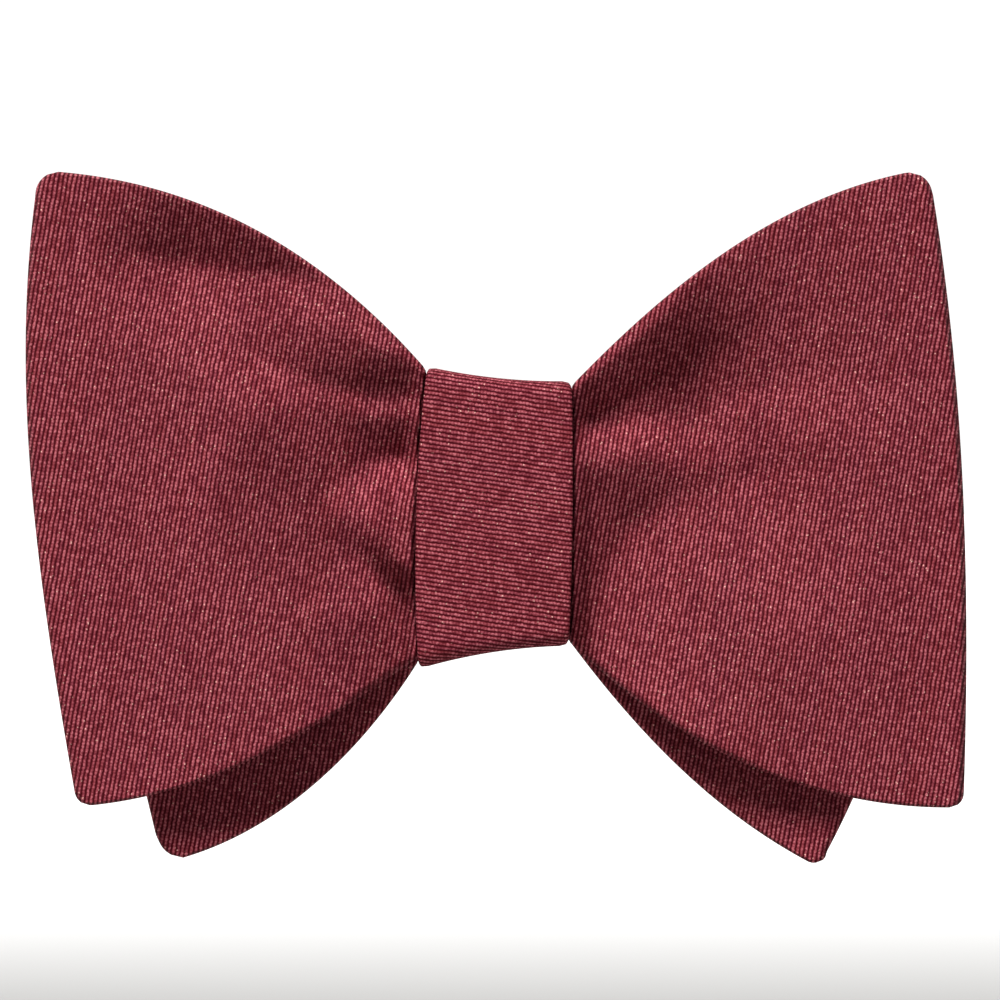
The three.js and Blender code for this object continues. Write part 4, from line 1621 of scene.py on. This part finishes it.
    def tacks(self, finishes: Finishes) -> list[bpy.types.Object]:
        """Makes the bar tacks that hold the folded ends.

        Args:
            finishes: The materials.

        Returns:
            The two tacks.
        """
        run, clasp = self.run, self.clasp
        eye_place = clasp.place(run) - self.eye_tail / run.quarter + self.eye_tack / run.quarter
        tail_place = clasp.slider_place(run) + (self.slider_tail - self.slider_tack) / run.side
        rows = (
            ("eye_fold_tack", Hand.LEFT, eye_place, clasp.strap_offset, "left_band"),
            ("slider_fold_tack", Hand.RIGHT, tail_place, clasp.slider_offset, "slider"),
        )
        made = []
        for name, hand, place, offset, body in rows:
            point, normal, forward = run.spot(hand, place)
            lie = point + normal * (offset - clasp.bore - clasp.fold - self.tack_depth)
            levels = np.linspace(-self.tack_reach, self.tack_reach, self.tack_stitches)
            middles = [np.array([*lie, z]) for z in levels]
            half = np.array([*(forward * self.tack_half), 0.0])
            sewing = stitched(f"{name}_stitches", middles, half, self.tack_thread)
            tack = dress(sewing, finishes.thread)
            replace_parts(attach(tack, body), name)
            made.append(tack)
        return made

    def build(self, finishes: Finishes) -> None:
        """Makes every piece of the band and reports them."""
        halves = [self.half(hand, finishes) for hand in Hand]
        pieces = [self.centre(finishes), *halves, *self.folds(finishes), *self.tacks(finishes)]
        LOG.info("neckband: %s", ", ".join(p.name for p in pieces))


@dataclass(frozen=True)
class Label:
    """A blank woven label on the inside of the left half."""

    run: BandRun
    place: float = 13.0
    length: float = 26.0
    height: float = 12.0
    thickness: float = 0.4
    face: float = -1.2
    margin: float = 1.0
    row_reach: float = 5.1
    row_stitches: int = 7
    stitch_half: float = 0.55
    stitch_radius: float = 0.13

    def build(self, finishes: Finishes) -> None:
        """Makes the label and the stitches at its ends.

        Args:
            finishes: The materials.
        """
        start, end = self.place / self.run.side, (self.place + self.length) / self.run.side
        line, normals = self.run.line(Hand.LEFT, start, end, self.face - self.thickness / 2, 60)
        profile = strap_profile(self.height, self.thickness, steps=3, rows=10)
        label = dress(strap("blank_label", line, normals, profile), finishes.tape)
        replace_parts(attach(label, "left_band"), "neck_label")
        point, normal, forward = self.run.spot(Hand.LEFT, start)
        skin = point + normal * (self.face - self.thickness - 0.02)
        levels = np.linspace(-self.row_reach, self.row_reach, self.row_stitches)
        ends = (self.margin, self.length - self.margin)
        middles = [np.array([*(skin + forward * end), z]) for end in ends for z in levels]
        half = np.array([0.0, 0.0, self.stitch_half])
        sewing = stitched("label_stitches", middles, half, self.stitch_radius)
        dress(sewing, finishes.thread)
        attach(sewing, "left_band")
        LOG.info("label: %s, %s", label.name, sewing.name)


# ---------------------------------------------------------------- hardware


@dataclass(frozen=True)
class Hardware:
    """The eye, the hook and the slider: nickel-plated sheet and wire."""

    run: BandRun
    clasp: Clasp
    arm_gap: float = 0.4
    eye_slot: float = 2.8
    eye_width: float = 12.4
    hook_width: float = 7.0
    hook_shank: float = 3.4
    hook_opening: float = 1.6
    hook_tongue: float = 3.2
    hook_metal: float = 0.8
    hook_rounding: float = 0.18
    slider_length: float = 9.8
    slider_bar_end: float = 0.35
    rail: float = 1.0
    rounding: float = 0.22

    @property
    def arm_inner(self) -> float:
        """From the middle height to the inside of an arm."""
        return self.run.height / 2 + self.arm_gap

    def seat(self, hand: Hand, place: float, offset: float) -> Matrix:
        """Takes a drawing of (along, up, outward) to the band at a place.

        Args:
            hand: Which half of the band.
            place: The place on it.
            offset: How far outward.

        Returns:
            The matrix, in millimetres.
        """
        point, normal, forward = self.run.spot(hand, place)
        spot = point + normal * offset
        return Matrix((
            (forward[0], 0, normal[0], spot[0]),
            (forward[1], 0, normal[1], spot[1]),
            (0, 1, 0, 0),
            (0, 0, 0, 1),
        ))

    @staticmethod
    def level(height: float) -> Matrix:
        """Takes a drawing of (along, outward, up) to one of (along, up, outward) at a height."""
        return Matrix(((1, 0, 0, 0), (0, 0, 1, height), (0, 1, 0, 0), (0, 0, 0, 1)))

    def holder(self, name: str, place: Matrix) -> bpy.types.Object:
        """The end that the strap is folded round: a bar, two arms and a cross piece."""
        clasp = self.clasp
        outer = rounded_loop(
            -clasp.bar, -self.arm_inner - clasp.arm,
            clasp.slot + clasp.arm, self.arm_inner + clasp.arm, 0.5, 1.1,
        )
        hole = rounded_loop(clasp.bar, -self.arm_inner, clasp.slot, self.arm_inner, 0.3, 0.3)
        return plate(name, [outer, hole], clasp.plate, self.rounding, place)

    def eye(self) -> bpy.types.Object:
        """Makes the eye."""
        clasp = self.clasp
        arm = clasp.arm
        place = self.seat(Hand.LEFT, clasp.place(self.run), clasp.strap_offset)
        start, end = clasp.slot, clasp.slot + 2 * arm + self.eye_slot + clasp.bar
        half = self.eye_width / 2
        outer = rounded_loop(start, -half, end, half, 0.35, 2.4)
        hole = rounded_loop(start + arm, -half + arm, end - arm, half - arm, 0.4, 1.2)
        loop = plate("eye_loop", [outer, hole], clasp.plate, self.rounding, place)
        return joined("eye_ring", [self.holder("eye_holder", place), loop])

    def hook(self) -> bpy.types.Object:
        """Makes the hook: a holder and a tongue that turns back on itself."""
        clasp = self.clasp
        place = self.seat(Hand.RIGHT, clasp.place(self.run), clasp.strap_offset)
        metal, half = self.hook_metal, self.hook_opening / 2
        bend = half + metal
        reach = clasp.bar + clasp.slot + self.hook_shank + bend
        start = reach - bend
        middle, root, tip = -metal / 2 - half, clasp.slot + clasp.bar, start - self.hook_tongue
        turn = [math.pi / 2 - math.pi * k / 16 for k in range(17)]
        outer, inner = (
            [(start + radius * math.cos(a), middle + radius * math.sin(a)) for a in turn]
            for radius in (bend, half)
        )
        loop = [(root, metal / 2), *outer, (tip, middle - bend)]
        loop += [(tip, middle - half), *inner[::-1], (root, -metal / 2)]
        upright = place @ self.level(0.0)
        tongue = plate("hook_tongue", [loop], self.hook_width, self.hook_rounding, upright)
        return joined("hook_plate", [self.holder("hook_holder", place), tongue])

    def slider(self) -> bpy.types.Object:
        """Makes the slider: two rails, a middle bar inside and two end bars outside."""
        clasp = self.clasp
        seat = self.seat(Hand.RIGHT, clasp.slider_place(self.run), 0.0)
        end_offset = self.run.thickness / 2 + clasp.clearance + clasp.bar
        half = self.slider_length / 2
        outer, shoulder = end_offset + clasp.bar, end_offset - clasp.bar
        foot, foot_half = clasp.slider_offset - clasp.bar, 2 * clasp.bar
        right = [(foot_half, foot), (half, shoulder), (half, outer)]
        outline = [(-x, y) for x, y in right[::-1]] + right
        level = self.arm_inner + self.rail / 2
        parts = []
        for end in (-1, 1):
            flat = seat @ self.level(end * level)
            parts.append(plate(f"rail{end}", [outline], self.rail, self.rounding, flat))
        bar_end, inner_half = level + self.slider_bar_end, half - clasp.bar
        bars = ((0.0, clasp.slider_offset), (inner_half, end_offset), (-inner_half, end_offset))
        for along, outward in bars:
            low, high = (np.array(seat @ Vector((along, up, outward))) for up in (-bar_end, bar_end))
            parts.append(rod(f"bar{along:.0f}", low, high, clasp.bar))
        return joined("slider_buckle", parts)

    def build(self, finishes: Finishes) -> None:
        """Makes, dresses and places the three metal pieces."""
        rows = (
            (self.eye(), "eye", "band_eye"),
            (self.hook(), "hook", "band_hook"),
            (self.slider(), "slider", "slider_frame"),
        )
        for piece, body, node in rows:
            dress(piece, finishes.nickel)
            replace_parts(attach(piece, body), node)
            LOG.info("hardware: %s on %s", piece.name, body)


# ---------------------------------------------------------------- studio


@dataclass(frozen=True)
class Studio:
    """A pale floor that glows far behind the object as painted light, soft lights and the camera
    straight in front.
    """

    view_centre: tuple[float, float] = (0.6, 1.95)
    view_width: float = 130.0
    distance: float = 1500.0
    bow_front: float = -18.0
    floor_drop: float = 28.0
    key_strength: float = 5.3
    key_angle: float = 26.0
    key_from: tuple[float, float, float] = (-0.20, -0.58, 0.76)
    surround: float = 0.04
    backdrop: float = 1.1
    floor_reach: float = 60.0
    floor_dark: Colour = (0.33, 0.327, 0.32, 1)
    floor_light: Colour = (0.35, 0.347, 0.34, 1)
    glow_from: float = 0.16
    glow_to: float = 0.8
    glow: float = 0.8

    def floor(self, low: Vector) -> None:
        """Makes the floor, whose emission paints a soft glow of light on it far behind the object.

        Args:
            low: Lowest corner of the object.
        """
        mesh = bpy.data.meshes.new("floor")
        reach, level = self.floor_reach, low.z - self.floor_drop * MM
        signs = ((-1, -1), (1, -1), (1, 1), (-1, 1))
        mesh.from_pydata([(reach * x, reach * y, level) for x, y in signs], [], [(0, 1, 2, 3)])
        bench = NodeBench("pale floor")
        place = bench.object_place()
        tone = bench.mix(bench.noise(place, 3.0, 3.0), self.floor_dark, self.floor_light)
        bench.put(bench.shader.inputs["Base Color"], tone)
        bench.shader.inputs["Roughness"].default_value = 0.9
        # The floor's emission rises with distance behind the object: a painted glow of light, not a
        # lamp.
        limits = {1: self.glow_from, 2: self.glow_to, 3: 0.0, 4: self.glow}
        glow = bench.node("ShaderNodeMapRange", {0: bench.axes(place)[1], **limits}).outputs[0]
        bench.shader.inputs["Emission Color"].default_value = (1, 1, 1, 1)
        bench.put(bench.shader.inputs["Emission Strength"], glow)
        mesh.materials.append(bench.material)
        link("floor", mesh)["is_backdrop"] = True

    def lights(self) -> None:
        """Makes the soft key light and the surroundings, paler behind the object."""
        lamp = bpy.data.lights.new("key", "SUN")
        lamp.energy = self.key_strength
        lamp.angle = math.radians(self.key_angle)
        key = link("key", lamp)
        key.rotation_mode = "QUATERNION"
        key.rotation_quaternion = Vector(self.key_from).to_track_quat("Z", "Y")
        world = bpy.data.worlds.new("studio")
        bpy.context.scene.world = world
        world.use_nodes = True
        tree = world.node_tree
        coords = tree.nodes.new("ShaderNodeTexCoord")
        parts = tree.nodes.new("ShaderNodeSeparateXYZ")
        tree.links.new(coords.outputs["Generated"], parts.inputs[0])
        ramp = tree.nodes.new("ShaderNodeMapRange")
        ramp.interpolation_type = "SMOOTHSTEP"
        ramp.inputs[1].default_value = -0.1
        ramp.inputs[2].default_value = 0.8
        ramp.inputs[3].default_value = self.surround
        ramp.inputs[4].default_value = self.backdrop
        tree.links.new(parts.outputs[1], ramp.inputs[0])
        background = tree.nodes["Background"]
        background.inputs["Color"].default_value = (1.0, 0.995, 0.985, 1)
        tree.links.new(ramp.outputs[0], background.inputs["Strength"])

    def camera(self) -> None:
        """Makes the camera, straight in front of the bow."""
        data = bpy.data.cameras.new("camera")
        data.sensor_width = 36.0
        data.lens = 36.0 * self.distance / self.view_width
        data.clip_end = 200.0
        camera = link("camera", data)
        x, z = self.view_centre
        camera.location = Vector((x, self.bow_front - self.distance, z)) * MM
        camera.rotation_euler = (math.pi / 2, 0, 0)
        bpy.context.scene.camera = camera

    def build(self, low: Vector) -> None:
        """Sets up floor, lights, camera and plain colour rendering."""
        self.floor(low)
        self.lights()
        self.camera()
        bpy.context.scene.view_settings.view_transform = "Standard"
        LOG.info("studio: floor, key light, surroundings, camera")


def main() -> None:
    """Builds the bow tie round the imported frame, then the studio."""
    logging.basicConfig(level=logging.INFO, format="%(message)s", stream=sys.stdout)
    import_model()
    finishes = Finishes(
        wing=RibbedSilk("wing silk", 10.5).material(),
        knot=RibbedSilk("knot silk", 99.0, pitch=0.57).material(),
        band=RibbedSilk("band silk", 0.0).material(),
        canvas=Canvas().material(),
        thread=Thread().material(),
        tape=LabelTape().material(),
        nickel=Nickel().material(),
    )
    waists = [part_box(f"{layer.value}_bow_waist") for layer in Layer]
    front, back = ((low.y + high.y) / 2 / MM for low, high in waists)
    Bows(front_middle=front, back_middle=back).build(finishes)
    low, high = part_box("knot_wrap")
    Knot(front=low.y / MM, back=high.y / MM).build(finishes)
    centre_low, centre_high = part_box("neckband_centre")
    left_low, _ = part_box("band_left")
    thickness = (centre_high.y - centre_low.y) / MM
    run = BandRun(
        middle=(centre_low.y + centre_high.y) / 2 / MM,
        half_width=-left_low.x / MM - thickness / 2,
    )
    clasp = Clasp()
    Neckband(run, clasp).build(finishes)
    Label(run).build(finishes)
    Hardware(run, clasp).build(finishes)
    Studio().build(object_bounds()[0])


if __name__ == "__main__":
    main()
